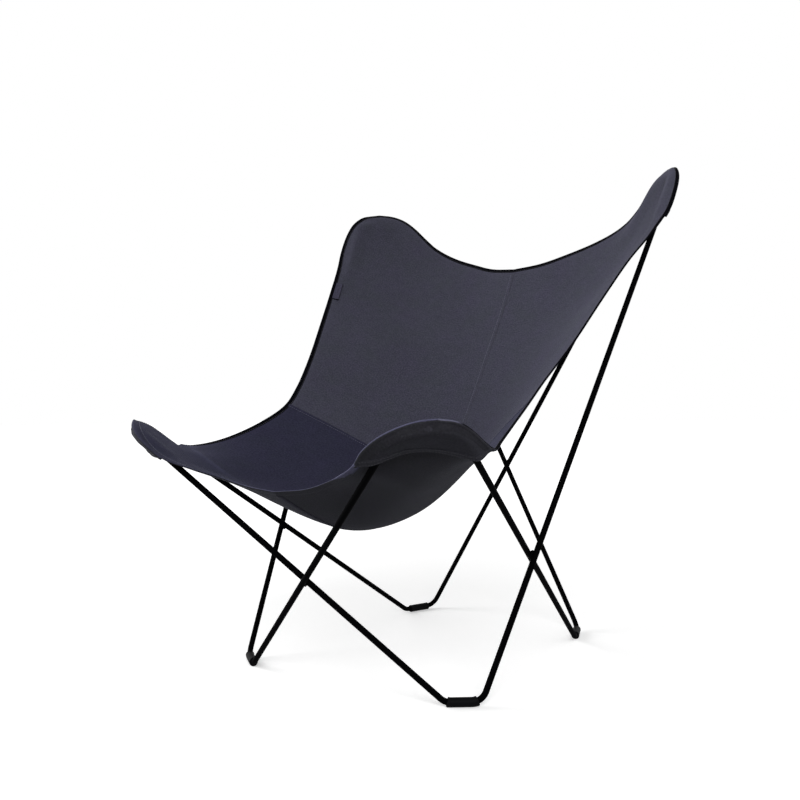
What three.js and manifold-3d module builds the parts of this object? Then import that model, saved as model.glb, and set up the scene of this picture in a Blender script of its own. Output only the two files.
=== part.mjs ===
// A butterfly sling chair: two bent rod loops that cross, and a sewn cloth seat hung on their four corners.
// Millimetres, +Z up, the floor at z = 0, the sitter facing -Y. Every share is of the size named beside it.
import * as THREE from 'three';
import { mergeVertices } from 'three/addons/utils/BufferGeometryUtils.js';
import Module from 'manifold-3d';

// The chair's main sizes, which the frame's corners and the cloth's outline follow.
const HALF_WIDTH = 391;
const FRONT_REACH = 431;
const BACK_REACH = 454;
const HEIGHT = 926;

// The steel frame.
const ROD_RADIUS = 5;
const ROD_GAP = 0.3;
const BEND_RADIUS = 25;
const ROD_SIDES = 12;
const BEND_STEPS = 6;

// The glides on the foot flats.
const GLIDE_LENGTH = 48;
const GLIDE_WALL = 2.5;
const GLIDE_SIDES = 16;
const GLIDE_FLAT = 0.5;

// The welds where the rods cross.
const WELD_RADIUS = 8;
const WELD_HEIGHT = 8.4;
const WELD_SIDES = 20;

// The cloth: doubled canvas, and its single layer pockets.
const CLOTH = 2;
const POCKET_CLOTH = 1.6;
const LAYER_GAP = 0.3;
const TAPE_GAP = 0.6;
const SEAM_GAP = 0.3;
const RIDGE_WIDTH = 24;
const POCKET_SPREAD = 60;
const EDGE_ROLL = 8;
const FACET_ROOM = 2.4;
const HEM_LIFT = 12;
const MOUTH_HEM_CLOTH = 0.9;

// The bindings, tapes and tag.
const BEAD_RADIUS = 2;
const BEAD_SIDES = 6;
const TAPE_WIDTH = 12;
const TAPE_CLOTH = 0.9;
const TAG_LENGTH = 50;
const TAG_REACH = 15;
const TAG_CLOTH = 1.2;
const TAG_INSET = 6;
const TAG_GAP = 0.95;

// One overrun serves all cuts.
const OVERRUN = 10;
const CURVE_STEPS = 600;
const RIM_STEPS = 90;

// Frame corners before bending, for the loop whose low corner is on the left. Shares of width, reach, height.
const CORNER_SHARES = {
  frontLow: [-0.6785, -0.973, 0.4595],
  frontHigh: [-0.819, -0.818, 0.4595],
  backOuter: [0.969, 0.7225, 0.974],
  backInner: [0.796, 0.916, 0.974],
};
const FOOT_SHARES = {
  frontInner: [0.504, -0.494],
  frontOuter: [0.622, -0.4155],
  backInner: [-0.4595, 0.7265],
};
// Where a back leg is crossed by the other loop's side leg, as a share of its length from the top.
const SIDE_CROSSING_SHARE = 0.76;

// Outlines of the sling's right half: shares of half width, of the reach on that side of y = 0, and of
// height.
const FRONT_TIP_SHARES = [0.79, -0.9, 0.476];
const BACK_TIP_SHARES = [0.913, 0.848, 1];
const FRONT_SHARES = [
  [0, -0.856, 0.3585], [0.153, -0.8515, 0.365], [0.281, -0.875, 0.379], [0.396, -0.9235, 0.394],
  [0.491, -0.97, 0.409], [0.56, -1, 0.432], [0.627, -0.998, 0.4515], [0.6905, -0.972, 0.4655],
  [0.744, -0.933, 0.474], FRONT_TIP_SHARES,
];
const SIDE_SHARES = [
  FRONT_TIP_SHARES, [0.826, -0.8585, 0.473], [0.836, -0.789, 0.463], [0.836, -0.696, 0.4415],
  [0.818, -0.615, 0.43], [0.783, -0.538, 0.4285], [0.739, -0.429, 0.4395], [0.698, -0.2575, 0.47],
  [0.685, -0.1275, 0.502], [0.701, -0.035, 0.539], [0.757, 0.11, 0.609], [0.8235, 0.264, 0.698],
  [0.8875, 0.403, 0.7775], [0.951, 0.524, 0.84], [0.99, 0.599, 0.887], [1, 0.661, 0.935],
  [0.992, 0.705, 0.964], [0.964, 0.764, 0.987], BACK_TIP_SHARES,
];
const TOP_SHARES = [
  [0, 0.881, 0.824], [0.153, 0.9075, 0.8325], [0.294, 0.947, 0.851], [0.435, 0.978, 0.8725],
  [0.542, 0.998, 0.894], [0.614, 1, 0.9135], [0.678, 0.991, 0.9385], [0.7365, 0.971, 0.964],
  [0.798, 0.938, 0.985], [0.859, 0.8965, 0.997], BACK_TIP_SHARES,
];
const CENTRE_SHARES = [
  [0, -0.856, 0.3585], [0, -0.673, 0.314], [0, -0.499, 0.282], [0, -0.348, 0.271], [0, -0.174, 0.274],
  [0, 0, 0.2895], [0, 0.132, 0.3185], [0, 0.242, 0.3605], [0, 0.33, 0.4115], [0, 0.416, 0.47],
  [0, 0.48, 0.514], [0, 0.639, 0.632], [0, 0.758, 0.718], [0, 0.881, 0.824],
];
// How far along the cloth the end outlines reach, and how softly the cloth turns at its middle line.
const OUTLINE_REACH_SHARE = 0.34;
const SEAT_SOFT_SHARE = 0.16;
const BACK_SOFT_SHARE = 0.66;
const SOFT_SPAN_SHARES = [0.4, 0.8];
const LIFT_SHARE = 0.1;
// The cloth's corners follow the loops' own set forward or back by this share of it, outside the middle.
const CORNER_FOLLOW_SHARE = 0.9;
const FOLLOW_SPAN_SHARES = [0.2, 0.85];
// The waist seam, as shares of the way from the front edge to the top edge.
const SEAM_EDGE_SHARE = 0.36;
const SEAM_CENTRE_SHARE = 0.5;
// Columns from the middle line to the side edge, and rows of the seat and back panels from the waist outward.
const COLUMN_SHARES = [
  0, 0.1, 0.2, 0.3, 0.4, 0.49, 0.57, 0.64, 0.71, 0.77, 0.83, 0.88, 0.92, 0.95, 0.972, 0.988, 1,
];
const SEAT_ROW_SHARES = [
  0, 0.1, 0.2, 0.3, 0.4, 0.5, 0.59, 0.67, 0.74, 0.8, 0.85, 0.9, 0.935, 0.96, 0.98, 0.992, 1,
];
const BACK_ROW_SHARES = [
  0, 0.09, 0.18, 0.27, 0.36, 0.45, 0.54, 0.62, 0.69, 0.76, 0.82, 0.87, 0.91, 0.945, 0.97, 0.988, 1,
];
// Each pocket's mouth runs from the end edge to the side edge: the column and the row where it meets them.
const FRONT_MOUTH_SHARES = [0.52, 0.145];
const BACK_MOUTH_SHARES = [0.6, 0.85];
const POCKET_RING_SHARES = [0, 0.14, 0.28, 0.42, 0.56, 0.7, 0.82, 0.91, 1];
const POCKET_SPOKE_SHARES = [0, 0.1, 0.22, 0.36, 0.5, 0.64, 0.78, 0.9, 1];
const TAG_PLACE_SHARE = 0.714;
const TAG_ROW_SHARES = [0, 0.25, 0.5, 0.75, 1];

const COLOURS = {
  rod: 0x0b0b0d, weld: 0x0d0d0f, glide: 0x111114, cloth: 0x2b2b37, seat: 0x252531,
  pocket: 0x202028, binding: 0x0e0e12, hem: 0x2e2e38, tape: 0x1d1d24, tag: 0x16161a,
};

const wasm = await Module();
wasm.setup();
const chair = new THREE.Group();
const { clamp, lerp, smoothstep } = THREE.MathUtils;
const FOOT_HEIGHT = ROD_RADIUS + ROD_GAP + GLIDE_WALL - GLIDE_FLAT;

function place([x, y, z]) {
  const reach = y < 0 ? FRONT_REACH : BACK_REACH;
  return new THREE.Vector3(x * HALF_WIDTH, y * reach, z * HEIGHT);
}

function mirrored(point) {
  return new THREE.Vector3(-point.x, point.y, point.z);
}

function addMesh(name, geometry, colour, roughness, metalness) {
  const material = new THREE.MeshStandardMaterial({ color: colour, roughness, metalness });
  const mesh = new THREE.Mesh(geometry, material);
  mesh.name = name;
  chair.add(mesh);
}

// Solids: volume, faces turned outward, and the boolean library's form.
function signedVolume(positions, index) {
  const [a, b, c] = [new THREE.Vector3(), new THREE.Vector3(), new THREE.Vector3()];
  let sum = 0;
  for (let i = 0; i < index.length; i += 3) {
    a.fromArray(positions, index[i] * 3);
    b.fromArray(positions, index[i + 1] * 3);
    c.fromArray(positions, index[i + 2] * 3);
    sum += a.dot(b.cross(c));
  }
  return sum;
}

function closedGeometry(points, faces) {
  const geometry = new THREE.BufferGeometry();
  geometry.setAttribute('position', new THREE.Float32BufferAttribute(points.flatMap((p) => p.toArray()), 3));
  geometry.setIndex(faces.flat());
  const merged = mergeVertices(geometry);
  const index = Array.from(merged.index.array);
  const kept = [];
  for (let i = 0; i < index.length; i += 3) {
    const [a, b, c] = index.slice(i, i + 3);
    if (a !== b && b !== c && c !== a) kept.push([a, b, c]);
  }
  const outward = signedVolume(merged.attributes.position.array, kept.flat()) > 0;
  merged.setIndex(kept.flatMap(([a, b, c]) => (outward ? [a, b, c] : [a, c, b])));
  merged.computeVertexNormals();
  return merged;
}

function toManifold(geometry) {
  const bare = geometry.clone();
  bare.deleteAttribute('normal');
  bare.deleteAttribute('uv');
  const merged = mergeVertices(bare);
  return new wasm.Manifold(new wasm.Mesh({
    numProp: 3,
    vertProperties: new Float32Array(merged.attributes.position.array),
    triVerts: new Uint32Array(merged.index.array),
  }));
}

function fromManifold(solid) {
  const mesh = solid.getMesh();
  const geometry = new THREE.BufferGeometry();
  geometry.setAttribute('position', new THREE.Float32BufferAttribute(mesh.vertProperties, 3));
  geometry.setIndex(Array.from(mesh.triVerts));
  geometry.computeVertexNormals();
  return geometry;
}

// A path whose steps fall exactly on chosen stations, each with its own direction.
class StationPath extends THREE.Curve {
  constructor(stations) {
    super();
    this.stations = stations;
  }

  getPointAt(share) {
    return this.stations[Math.round(share * (this.stations.length - 1))].point.clone();
  }

  getTangentAt(share) {
    return this.stations[Math.round(share * (this.stations.length - 1))].tangent.clone();
  }
}

function roundSection(radius, sides) {
  const points = [];
  for (let i = 0; i < sides; i += 1) {
    const angle = ((i + 0.5) / sides) * Math.PI * 2;
    points.push(new THREE.Vector2(Math.cos(angle) * radius, Math.sin(angle) * radius));
  }
  return new THREE.Shape(points);
}

function sweep(stations, radius, sides) {
  return new THREE.ExtrudeGeometry(roundSection(radius, sides), {
    steps: stations.length - 1,
    extrudePath: new StationPath(stations),
    bevelEnabled: false,
  });
}

function bentPath(corners, radius, steps) {
  const stations = [];
  const first = corners[1].clone().sub(corners[0]).normalize();
  stations.push({ point: corners[0].clone(), tangent: first });
  for (let i = 1; i < corners.length - 1; i += 1) {
    const into = corners[i].clone().sub(corners[i - 1]).normalize();
    const out = corners[i + 1].clone().sub(corners[i]).normalize();
    const turn = into.angleTo(out);
    const setback = radius * Math.tan(turn / 2);
    const start = corners[i].clone().addScaledVector(into, -setback);
    const inward = out.clone().addScaledVector(into, -out.dot(into)).normalize();
    const hub = start.clone().addScaledVector(inward, radius);
    for (let k = 0; k <= steps; k += 1) {
      const angle = (turn * k) / steps;
      const arm = inward.clone().multiplyScalar(-Math.cos(angle) * radius);
      arm.addScaledVector(into, Math.sin(angle) * radius);
      const tangent = into.clone().multiplyScalar(Math.cos(angle)).addScaledVector(inward, Math.sin(angle));
      stations.push({ point: hub.clone().add(arm), tangent });
    }
  }
  const last = corners[corners.length - 1];
  stations.push({ point: last.clone(), tangent: last.clone().sub(corners[corners.length - 2]).normalize() });
  return stations;
}

// The stretch of a path within a distance of its middle, measured along it.
function middleStretch(stations, length) {
  const marks = [0];
  for (let i = 1; i < stations.length; i += 1) {
    marks.push(marks[i - 1] + stations[i].point.distanceTo(stations[i - 1].point));
  }
  const from = (marks[marks.length - 1] - length) / 2;
  const to = from + length;
  const at = (mark) => {
    const i = marks.findIndex((m) => m > mark);
    const share = (mark - marks[i - 1]) / (marks[i] - marks[i - 1]);
    const tangent = stations[i - 1].tangent.clone().lerp(stations[i].tangent, share).normalize();
    return { point: stations[i - 1].point.clone().lerp(stations[i].point, share), tangent };
  };
  return [at(from), ...stations.filter((_, i) => marks[i] > from && marks[i] < to), at(to)];
}

// Frame. The second loop is the mirror of the first, set back so that the rods just clear each other.
function footCorner([x, y]) {
  const corner = place([x, y, 0]);
  corner.z = FOOT_HEIGHT;
  return corner;
}

const low = place(CORNER_SHARES.frontLow);
const high = place(CORNER_SHARES.frontHigh);
const outer = place(CORNER_SHARES.backOuter);
const inner = place(CORNER_SHARES.backInner);
const footInner = footCorner(FOOT_SHARES.frontInner);
const footOuter = footCorner(FOOT_SHARES.frontOuter);
const rearInner = footCorner(FOOT_SHARES.backInner);
const ROD_REACH = 2 * ROD_RADIUS + ROD_GAP;

function mirrorStep(from, to) {
  const way = to.clone().sub(from);
  return (ROD_REACH * Math.hypot(way.y, way.z)) / Math.abs(way.z);
}

const LOOP_STEP = Math.max(mirrorStep(low, footInner), mirrorStep(inner, rearInner));

// The side leg passes inside the other loop's back leg and meets the floor on that line.
function rearFoot() {
  const start = mirrored(high);
  const crossing = outer.clone().lerp(footOuter, SIDE_CROSSING_SHARE);
  const legWay = footOuter.clone().sub(outer);
  const through = crossing.clone();
  for (let pass = 0; pass < BEND_STEPS; pass += 1) {
    const normal = legWay.clone().cross(through.clone().sub(start)).normalize();
    normal.multiplyScalar(Math.sign(normal.x));
    through.copy(crossing).addScaledVector(normal, -(ROD_REACH + LOOP_STEP * Math.abs(normal.y)));
  }
  const share = (FOOT_HEIGHT - start.z) / (through.z - start.z);
  return mirrored(start.clone().lerp(through, share));
}

const rearOuter = rearFoot();
const stepForward = new THREE.Vector3(0, LOOP_STEP / 2, 0);
const loopCorners = [low, footInner, footOuter, outer, inner, rearInner, rearOuter, high];
const [LOW, FOOT_INNER, FOOT_OUTER, OUTER, INNER, REAR_INNER, REAR_OUTER, HIGH] = loopCorners.keys();
const loops = {
  a: loopCorners.map((p) => p.clone().add(stepForward)),
  b: loopCorners.map((p) => mirrored(p).sub(stepForward)),
};
const middle = (p, q) => p.clone().lerp(q, 0.5);

function legCorners(corners, i) {
  const count = corners.length;
  const [before, start, end, after] = [-1, 0, 1, 2].map((k) => corners[(i + k + count) % count]);
  return [middle(before, start), start, end, middle(end, after)];
}

function trimmed(stations) {
  const cut = stations.map((s) => ({ point: s.point.clone(), tangent: s.tangent }));
  cut[0].point.addScaledVector(cut[0].tangent, ROD_GAP / 2);
  cut[cut.length - 1].point.addScaledVector(cut[cut.length - 1].tangent, -ROD_GAP / 2);
  return cut;
}

const LEG_NAMES = {
  a: ['leg_a_front', 'leg_a_right', 'leg_a_rear', 'leg_a_left'],
  b: ['leg_b_front', 'leg_b_left', 'leg_b_rear', 'leg_b_right'],
};
for (const key of ['a', 'b']) {
  LEG_NAMES[key].forEach((name, i) => {
    const path = trimmed(bentPath(legCorners(loops[key], i * 2), BEND_RADIUS, BEND_STEPS));
    addMesh(name, sweep(path, ROD_RADIUS, ROD_SIDES), COLOURS.rod, 0.35, 0.6);
  });
}

// Glides: sleeves bent round the foot flats, with their soles cut flat at the floor.
function glide(corners, i) {
  const count = corners.length;
  const around = [-1, 0, 1, 2].map((k) => corners[(i + k + count) % count]);
  const flat = middle(around[1], around[2]);
  const stub = (from, to) => from.clone().lerp(to, (GLIDE_LENGTH * 2) / from.distanceTo(to));
  const ends = [stub(around[1], around[0]), stub(around[2], around[3])];
  const evened = bentPath([ends[0], around[1], around[2], ends[1]], BEND_RADIUS, BEND_STEPS);
  const bore = ROD_RADIUS + ROD_GAP;
  const shell = toManifold(sweep(middleStretch(evened, GLIDE_LENGTH), bore + GLIDE_WALL, GLIDE_SIDES));
  const core = middleStretch(evened, GLIDE_LENGTH + OVERRUN);
  const hollow = toManifold(sweep(core, bore / Math.cos(Math.PI / ROD_SIDES), ROD_SIDES));
  const floor = new THREE.BoxGeometry(GLIDE_LENGTH * 2, GLIDE_LENGTH * 2, OVERRUN);
  floor.translate(flat.x, flat.y, -OVERRUN / 2);
  return fromManifold(shell.subtract(hollow).subtract(toManifold(floor)));
}

const GLIDE_NAMES = {
  a: ['glide_front_right', 'glide_rear_left'],
  b: ['glide_front_left', 'glide_rear_right'],
};
for (const key of ['a', 'b']) {
  GLIDE_NAMES[key].forEach((name, k) => {
    const start = [FOOT_INNER, REAR_INNER][k];
    addMesh(name, glide(loops[key], start), COLOURS.glide, 0.5, 0);
  });
}

// Welds: a short boss across each crossing, with both rods cut out of it.
function nearest(line, other) {
  const [d, e] = [line[1].clone().sub(line[0]), other[1].clone().sub(other[0])];
  const w = other[0].clone().sub(line[0]);
  const [dd, ee, de] = [d.dot(d), e.dot(e), d.dot(e)];
  const rule = dd * ee - de * de;
  const s = (w.dot(d) * ee - w.dot(e) * de) / rule;
  const t = (w.dot(d) * de - w.dot(e) * dd) / rule;
  const p = line[0].clone().addScaledVector(d, s);
  const q = other[0].clone().addScaledVector(e, t);
  return { p, q, d: d.normalize(), e: e.normalize() };
}

function straightRod(point, way) {
  const half = WELD_RADIUS + OVERRUN;
  const path = [-half, half].map((k) => (
    { point: point.clone().addScaledVector(way, k), tangent: way.clone() }));
  const clear = (ROD_RADIUS + ROD_GAP) / Math.cos(Math.PI / GLIDE_SIDES);
  return toManifold(sweep(path, clear, GLIDE_SIDES));
}

function weld(line, other) {
  const { p, q, d, e } = nearest(line, other);
  const axis = q.clone().sub(p).normalize();
  const boss = new THREE.CylinderGeometry(WELD_RADIUS, WELD_RADIUS, WELD_HEIGHT, WELD_SIDES);
  boss.applyQuaternion(new THREE.Quaternion().setFromUnitVectors(new THREE.Vector3(0, 1, 0), axis));
  const centre = middle(p, q);
  boss.translate(centre.x, centre.y, centre.z);
  return fromManifold(toManifold(boss).subtract(straightRod(p, d)).subtract(straightRod(q, e)));
}

const run = (key, i, j) => [loops[key][i], loops[key][j]];
const CROSSINGS = {
  weld_front: [run('a', LOW, FOOT_INNER), run('b', LOW, FOOT_INNER)],
  weld_rear: [run('a', INNER, REAR_INNER), run('b', INNER, REAR_INNER)],
  weld_right: [run('a', OUTER, FOOT_OUTER), run('b', HIGH, REAR_OUTER)],
  weld_left: [run('b', OUTER, FOOT_OUTER), run('a', HIGH, REAR_OUTER)],
};
for (const [name, [line, other]] of Object.entries(CROSSINGS)) {
  addMesh(name, weld(line, other), COLOURS.weld, 0.5, 0.5);
}

// Cloth. One surface for the right half: s runs from the middle line to the side edge, v from front to top.
function outline(shares) {
  const curve = new THREE.CatmullRomCurve3(shares.map(place), false, 'centripetal');
  curve.arcLengthDivisions = CURVE_STEPS;
  return curve;
}

const FRONT = outline(FRONT_SHARES);
const SIDE = outline(SIDE_SHARES);
const TOP = outline(TOP_SHARES);
const CENTRE = outline(CENTRE_SHARES);

function fallOff(share) {
  const t = clamp(share / OUTLINE_REACH_SHARE, 0, 1);
  return (1 - t) ** 2 * (1 + 2 * t);
}

function between(s, v, centre, edge) {
  const soft = lerp(SEAT_SOFT_SHARE, BACK_SOFT_SHARE, smoothstep(v, ...SOFT_SPAN_SHARES));
  const rise = (Math.hypot(s, soft) - soft) / (Math.hypot(1, soft) - soft);
  const point = centre.clone().lerp(edge, rise);
  point.x = edge.x * s;
  return point;
}

function surface(s, v, side) {
  const point = between(s, v, CENTRE.getPointAt(v), SIDE.getPointAt(v));
  const frontMiss = FRONT.getPointAt(s).sub(between(s, 0, CENTRE.getPointAt(0), SIDE.getPointAt(0)));
  const topMiss = TOP.getPointAt(s).sub(between(s, 1, CENTRE.getPointAt(1), SIDE.getPointAt(1)));
  point.addScaledVector(frontMiss, fallOff(v)).addScaledVector(topMiss, fallOff(1 - v));
  const swell = ((v / LIFT_SHARE) * Math.exp(1 - v / LIFT_SHARE)) ** 2;
  point.z += HEM_LIFT * swell * Math.sin(Math.PI * s) ** 2;
  const follow = (fallOff(1 - v) - fallOff(v)) * smoothstep(s, ...FOLLOW_SPAN_SHARES);
  point.y += (side * follow * CORNER_FOLLOW_SHARE * LOOP_STEP) / 2;
  return point;
}

const NORMAL_STEP = 0.004;
const NORMAL_RIM = 0.03;

function faceNormal(s, v, side) {
  const [sc, vc] = [clamp(s, 0, 1 - NORMAL_RIM), clamp(v, NORMAL_RIM, 1 - NORMAL_RIM)];
  const [low, high] = [Math.max(sc - NORMAL_STEP, 0), Math.min(sc + NORMAL_STEP, 1)];
  const across = surface(high, vc, side).sub(surface(low, vc, side));
  const along = surface(sc, vc + NORMAL_STEP, side).sub(surface(sc, vc - NORMAL_STEP, side));
  const normal = across.cross(along).normalize();
  if (s === 0) normal.setX(0).normalize();
  return normal;
}

// The cloth's rim on one side, as short straight pieces, to measure how far inside it a point lies.
function rimPieces(side) {
  const ends = Array.from({ length: RIM_STEPS + 1 }, (_, k) => k / RIM_STEPS);
  const points = [
    ...ends.map((s) => surface(s, 0, side)), ...ends.map((v) => surface(1, v, side)),
    ...ends.map((s) => surface(1 - s, 1, side)),
  ];
  return points.slice(1).map((point, k) => new THREE.Line3(points[k], point));
}

const RIMS = { 1: rimPieces(1), '-1': rimPieces(-1) };
const onRim = new THREE.Vector3();

function edgeDistance(point, side) {
  return Math.min(...RIMS[side].map((piece) => (
    piece.closestPointToPoint(point, true, onRim).distanceTo(point))));
}

// The rods inside the pockets of one side, as dense points in the right half's coordinates.
function pocketRods(side) {
  const front = side > 0 ? loops.b : loops.a;
  const back = side > 0 ? loops.a : loops.b;
  const paths = [
    [REAR_OUTER, HIGH, LOW, FOOT_INNER].map((i) => front[i]),
    [FOOT_OUTER, OUTER, INNER, REAR_INNER].map((i) => back[i]),
  ];
  return paths.flatMap((corners) => {
    const right = corners.map((p) => new THREE.Vector3(p.x * side, p.y, p.z));
    const stations = bentPath(right, BEND_RADIUS, BEND_STEPS);
    return stations.slice(1).flatMap((station, i) => {
      const start = stations[i].point;
      const count = Math.ceil(start.distanceTo(station.point) / ROD_RADIUS);
      return Array.from({ length: count }, (_, k) => start.clone().lerp(station.point, k / count));
    });
  });
}

const RODS = { 1: pocketRods(1), '-1': pocketRods(-1) };
const ROD_SIGHT = 12 * ROD_RADIUS;

// How far the cloth stands off its plain surface, over the rods (way 1) or under them (way -1).
function standOff(point, normal, side, way, spread, cloth) {
  const need = ROD_RADIUS + LAYER_GAP + cloth / 2 + FACET_ROOM;
  let best = 0;
  for (const rod of RODS[side]) {
    const gap = point.clone().sub(rod);
    const height = gap.dot(normal) * way;
    const aside = Math.sqrt(Math.max(0, gap.lengthSq() - height * height));
    if (aside < ROD_SIGHT && height > -ROD_SIGHT) {
      best = Math.max(best, Math.max(0, need - height) * Math.exp(-((aside / spread) ** 2)));
    }
  }
  const rim = 1 - Math.min(edgeDistance(point, side), EDGE_ROLL) / EDGE_ROLL;
  return best * Math.sqrt(1 - rim * rim);
}

function clothPoint(s, v, side) {
  const point = surface(s, v, side);
  const normal = faceNormal(s, v, side);
  point.addScaledVector(normal, standOff(point, normal, side, 1, RIDGE_WIDTH, CLOTH));
  return { point, normal };
}

function sided(point, side) {
  return new THREE.Vector3(point.x * side, point.y, point.z);
}

// A sheet of cloth as a closed solid: two grids of points and the walls between their rims.
function sheet(upper, lower) {
  const [rows, columns] = [upper.length, upper[0].length];
  const points = [...upper.flat(), ...lower.flat()];
  const under = rows * columns;
  const id = (i, j, layer) => i * columns + j + layer * under;
  const faces = [];
  const quad = (a, b, c, d) => faces.push([a, b, c], [a, c, d]);
  for (let i = 0; i < rows - 1; i += 1) {
    for (let j = 0; j < columns - 1; j += 1) {
      quad(id(i, j, 0), id(i + 1, j, 0), id(i + 1, j + 1, 0), id(i, j + 1, 0));
      const [a, b, c, d] = [id(i, j, 1), id(i + 1, j, 1), id(i + 1, j + 1, 1), id(i, j + 1, 1)];
      faces.push([a, c, b], [a, d, c]);
    }
  }
  const rim = [];
  for (let i = 0; i < rows - 1; i += 1) rim.push([i, 0]);
  for (let j = 0; j < columns - 1; j += 1) rim.push([rows - 1, j]);
  for (let i = rows - 1; i > 0; i -= 1) rim.push([i, columns - 1]);
  for (let j = columns - 1; j > 0; j -= 1) rim.push([0, j]);
  rim.forEach(([i, j], k) => {
    const [m, n] = rim[(k + 1) % rim.length];
    quad(id(m, n, 0), id(i, j, 0), id(i, j, 1), id(m, n, 1));
  });
  return closedGeometry(points, faces);
}

function layers(grid, side, above, below) {
  const lift = (height) => grid.map((row) => row.map(({ point, normal }) => (
    sided(point.clone().addScaledVector(normal, height), side))));
  return sheet(lift(above), lift(below));
}

const seamRow = (s) => lerp(SEAM_CENTRE_SHARE, SEAM_EDGE_SHARE, s);

function panelGrid(side, part) {
  const half = SEAM_GAP / 2;
  const shares = part === 'seat' ? SEAT_ROW_SHARES : BACK_ROW_SHARES;
  const target = part === 'seat' ? 0 : 1;
  return COLUMN_SHARES.map((column) => shares.map((share) => {
    const rough = lerp(seamRow(column), target, share);
    const start = seamRow(column) + (Math.sign(target - 0.5) * half) / CENTRE.getLength();
    const v = share === 0 ? start : rough;
    const s = column === 0 ? half / SIDE.getPointAt(v).x : column;
    const found = clothPoint(s, v, side);
    if (column === 0) found.normal.setX(0).normalize();
    return found;
  }));
}

const PANELS = {};
for (const [word, side] of [['right', 1], ['left', -1]]) {
  for (const part of ['seat', 'back']) {
    const grid = panelGrid(side, part);
    PANELS[`${part}_${word}`] = grid;
    const colour = part === 'seat' ? COLOURS.seat : COLOURS.cloth;
    addMesh(`sling_${part}_${word}`, layers(grid, side, CLOTH / 2, -CLOTH / 2), colour, 0.9, 0);
  }
}

// Pockets: a patch under each corner, from the rim of the cloth to a straight mouth.
function pocketPoint(s, v, side) {
  const point = surface(s, v, side);
  const normal = faceNormal(s, v, side);
  const drop = standOff(point, normal, side, -1, POCKET_SPREAD, POCKET_CLOTH);
  point.addScaledVector(normal, -(CLOTH / 2 + LAYER_GAP + POCKET_CLOTH / 2) - drop);
  return { point, normal };
}

function pocketGrid(side, end) {
  const [column, row] = end === 'front' ? FRONT_MOUTH_SHARES : BACK_MOUTH_SHARES;
  const tip = end === 'front' ? 0 : 1;
  return POCKET_SPOKE_SHARES.map((spoke) => POCKET_RING_SHARES.map((ring) => {
    const s = 1 - ring * (1 - column) * (1 - spoke);
    const v = tip + ring * (row - tip) * spoke;
    return pocketPoint(s, v, side);
  }));
}

function mouthHem(grid, side) {
  const strip = grid.map((row) => row.slice(-2));
  const top = -(POCKET_CLOTH / 2 + LAYER_GAP);
  return layers(strip, side, top, top - MOUTH_HEM_CLOTH);
}

for (const [word, side] of [['right', 1], ['left', -1]]) {
  for (const end of ['front', 'back']) {
    const grid = pocketGrid(side, end);
    const half = POCKET_CLOTH / 2;
    addMesh(`pocket_${end}_${word}`, layers(grid, side, half, -half), COLOURS.pocket, 0.92, 0);
    addMesh(`mouth_hem_${end}_${word}`, mouthHem(grid, side), COLOURS.hem, 0.92, 0);
  }
}

// Bindings and the front hem: beads that follow the rim of the panels, a gap outside it.
function rimStations(points) {
  const last = points.length - 1;
  return points.map(({ point, outward }, i) => {
    const ahead = points[Math.min(i + 1, last)].point;
    const behind = points[Math.max(i - 1, 0)].point;
    const tangent = ahead.clone().sub(behind).normalize();
    const away = outward.clone().addScaledVector(tangent, -outward.dot(tangent)).normalize();
    return { point: point.clone().addScaledVector(away, LAYER_GAP + BEAD_RADIUS), tangent };
  });
}

function rimPoint({ point, normal }, inside, side) {
  const away = point.clone().sub(inside.point);
  away.addScaledVector(normal, -away.dot(normal));
  return { point: sided(point, side), outward: sided(away, side) };
}

function sideRim(word, side) {
  const last = COLUMN_SHARES.length - 1;
  const walk = (grid) => grid[last].map((found, k) => rimPoint(found, grid[last - 1][k], side));
  return [...walk(PANELS[`seat_${word}`]).reverse(), ...walk(PANELS[`back_${word}`]).slice(1)];
}

function endRim(part) {
  const walk = (word, side) => PANELS[`${part}_${word}`].map((row) => {
    const last = row.length - 1;
    return rimPoint(row[last], row[last - 1], side);
  });
  return [...walk('left', -1).reverse(), ...walk('right', 1).slice(1)];
}

function bead(points) {
  const stations = trimmed(rimStations(points));
  return sweep(stations, BEAD_RADIUS, BEAD_SIDES);
}

addMesh('binding_right', bead(sideRim('right', 1)), COLOURS.binding, 0.8, 0);
addMesh('binding_left', bead(sideRim('left', -1)), COLOURS.binding, 0.8, 0);
addMesh('binding_top', bead(endRim('back')), COLOURS.binding, 0.8, 0);
addMesh('hem_front', bead(endRim('seat')), COLOURS.hem, 0.9, 0);

// Seam tapes: strips under the seams, laid on the same facets as the panels.
function along(from, to, length) {
  const share = length / from.point.distanceTo(to.point);
  const normal = from.normal.clone().lerp(to.normal, share);
  return { point: from.point.clone().lerp(to.point, share), normal };
}

function sidedGrid(rows) {
  return rows.map((row) => row.map(({ point, normal, side }) => ({
    point: sided(point, side), normal: sided(normal, side),
  })));
}

function waistTape() {
  const rows = [];
  for (const [word, side] of [['left', -1], ['right', 1]]) {
    const walk = COLUMN_SHARES.map((_, i) => {
      const [seat, back] = [PANELS[`seat_${word}`][i], PANELS[`back_${word}`][i]];
      return [
        { ...along(seat[0], seat[1], TAPE_WIDTH / 2), side },
        { ...seat[0], point: seat[0].point.clone().lerp(back[0].point, 0.5), side },
        { ...along(back[0], back[1], TAPE_WIDTH / 2), side },
      ];
    });
    rows.push(...(side < 0 ? walk.reverse() : walk));
  }
  return rows;
}

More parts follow.
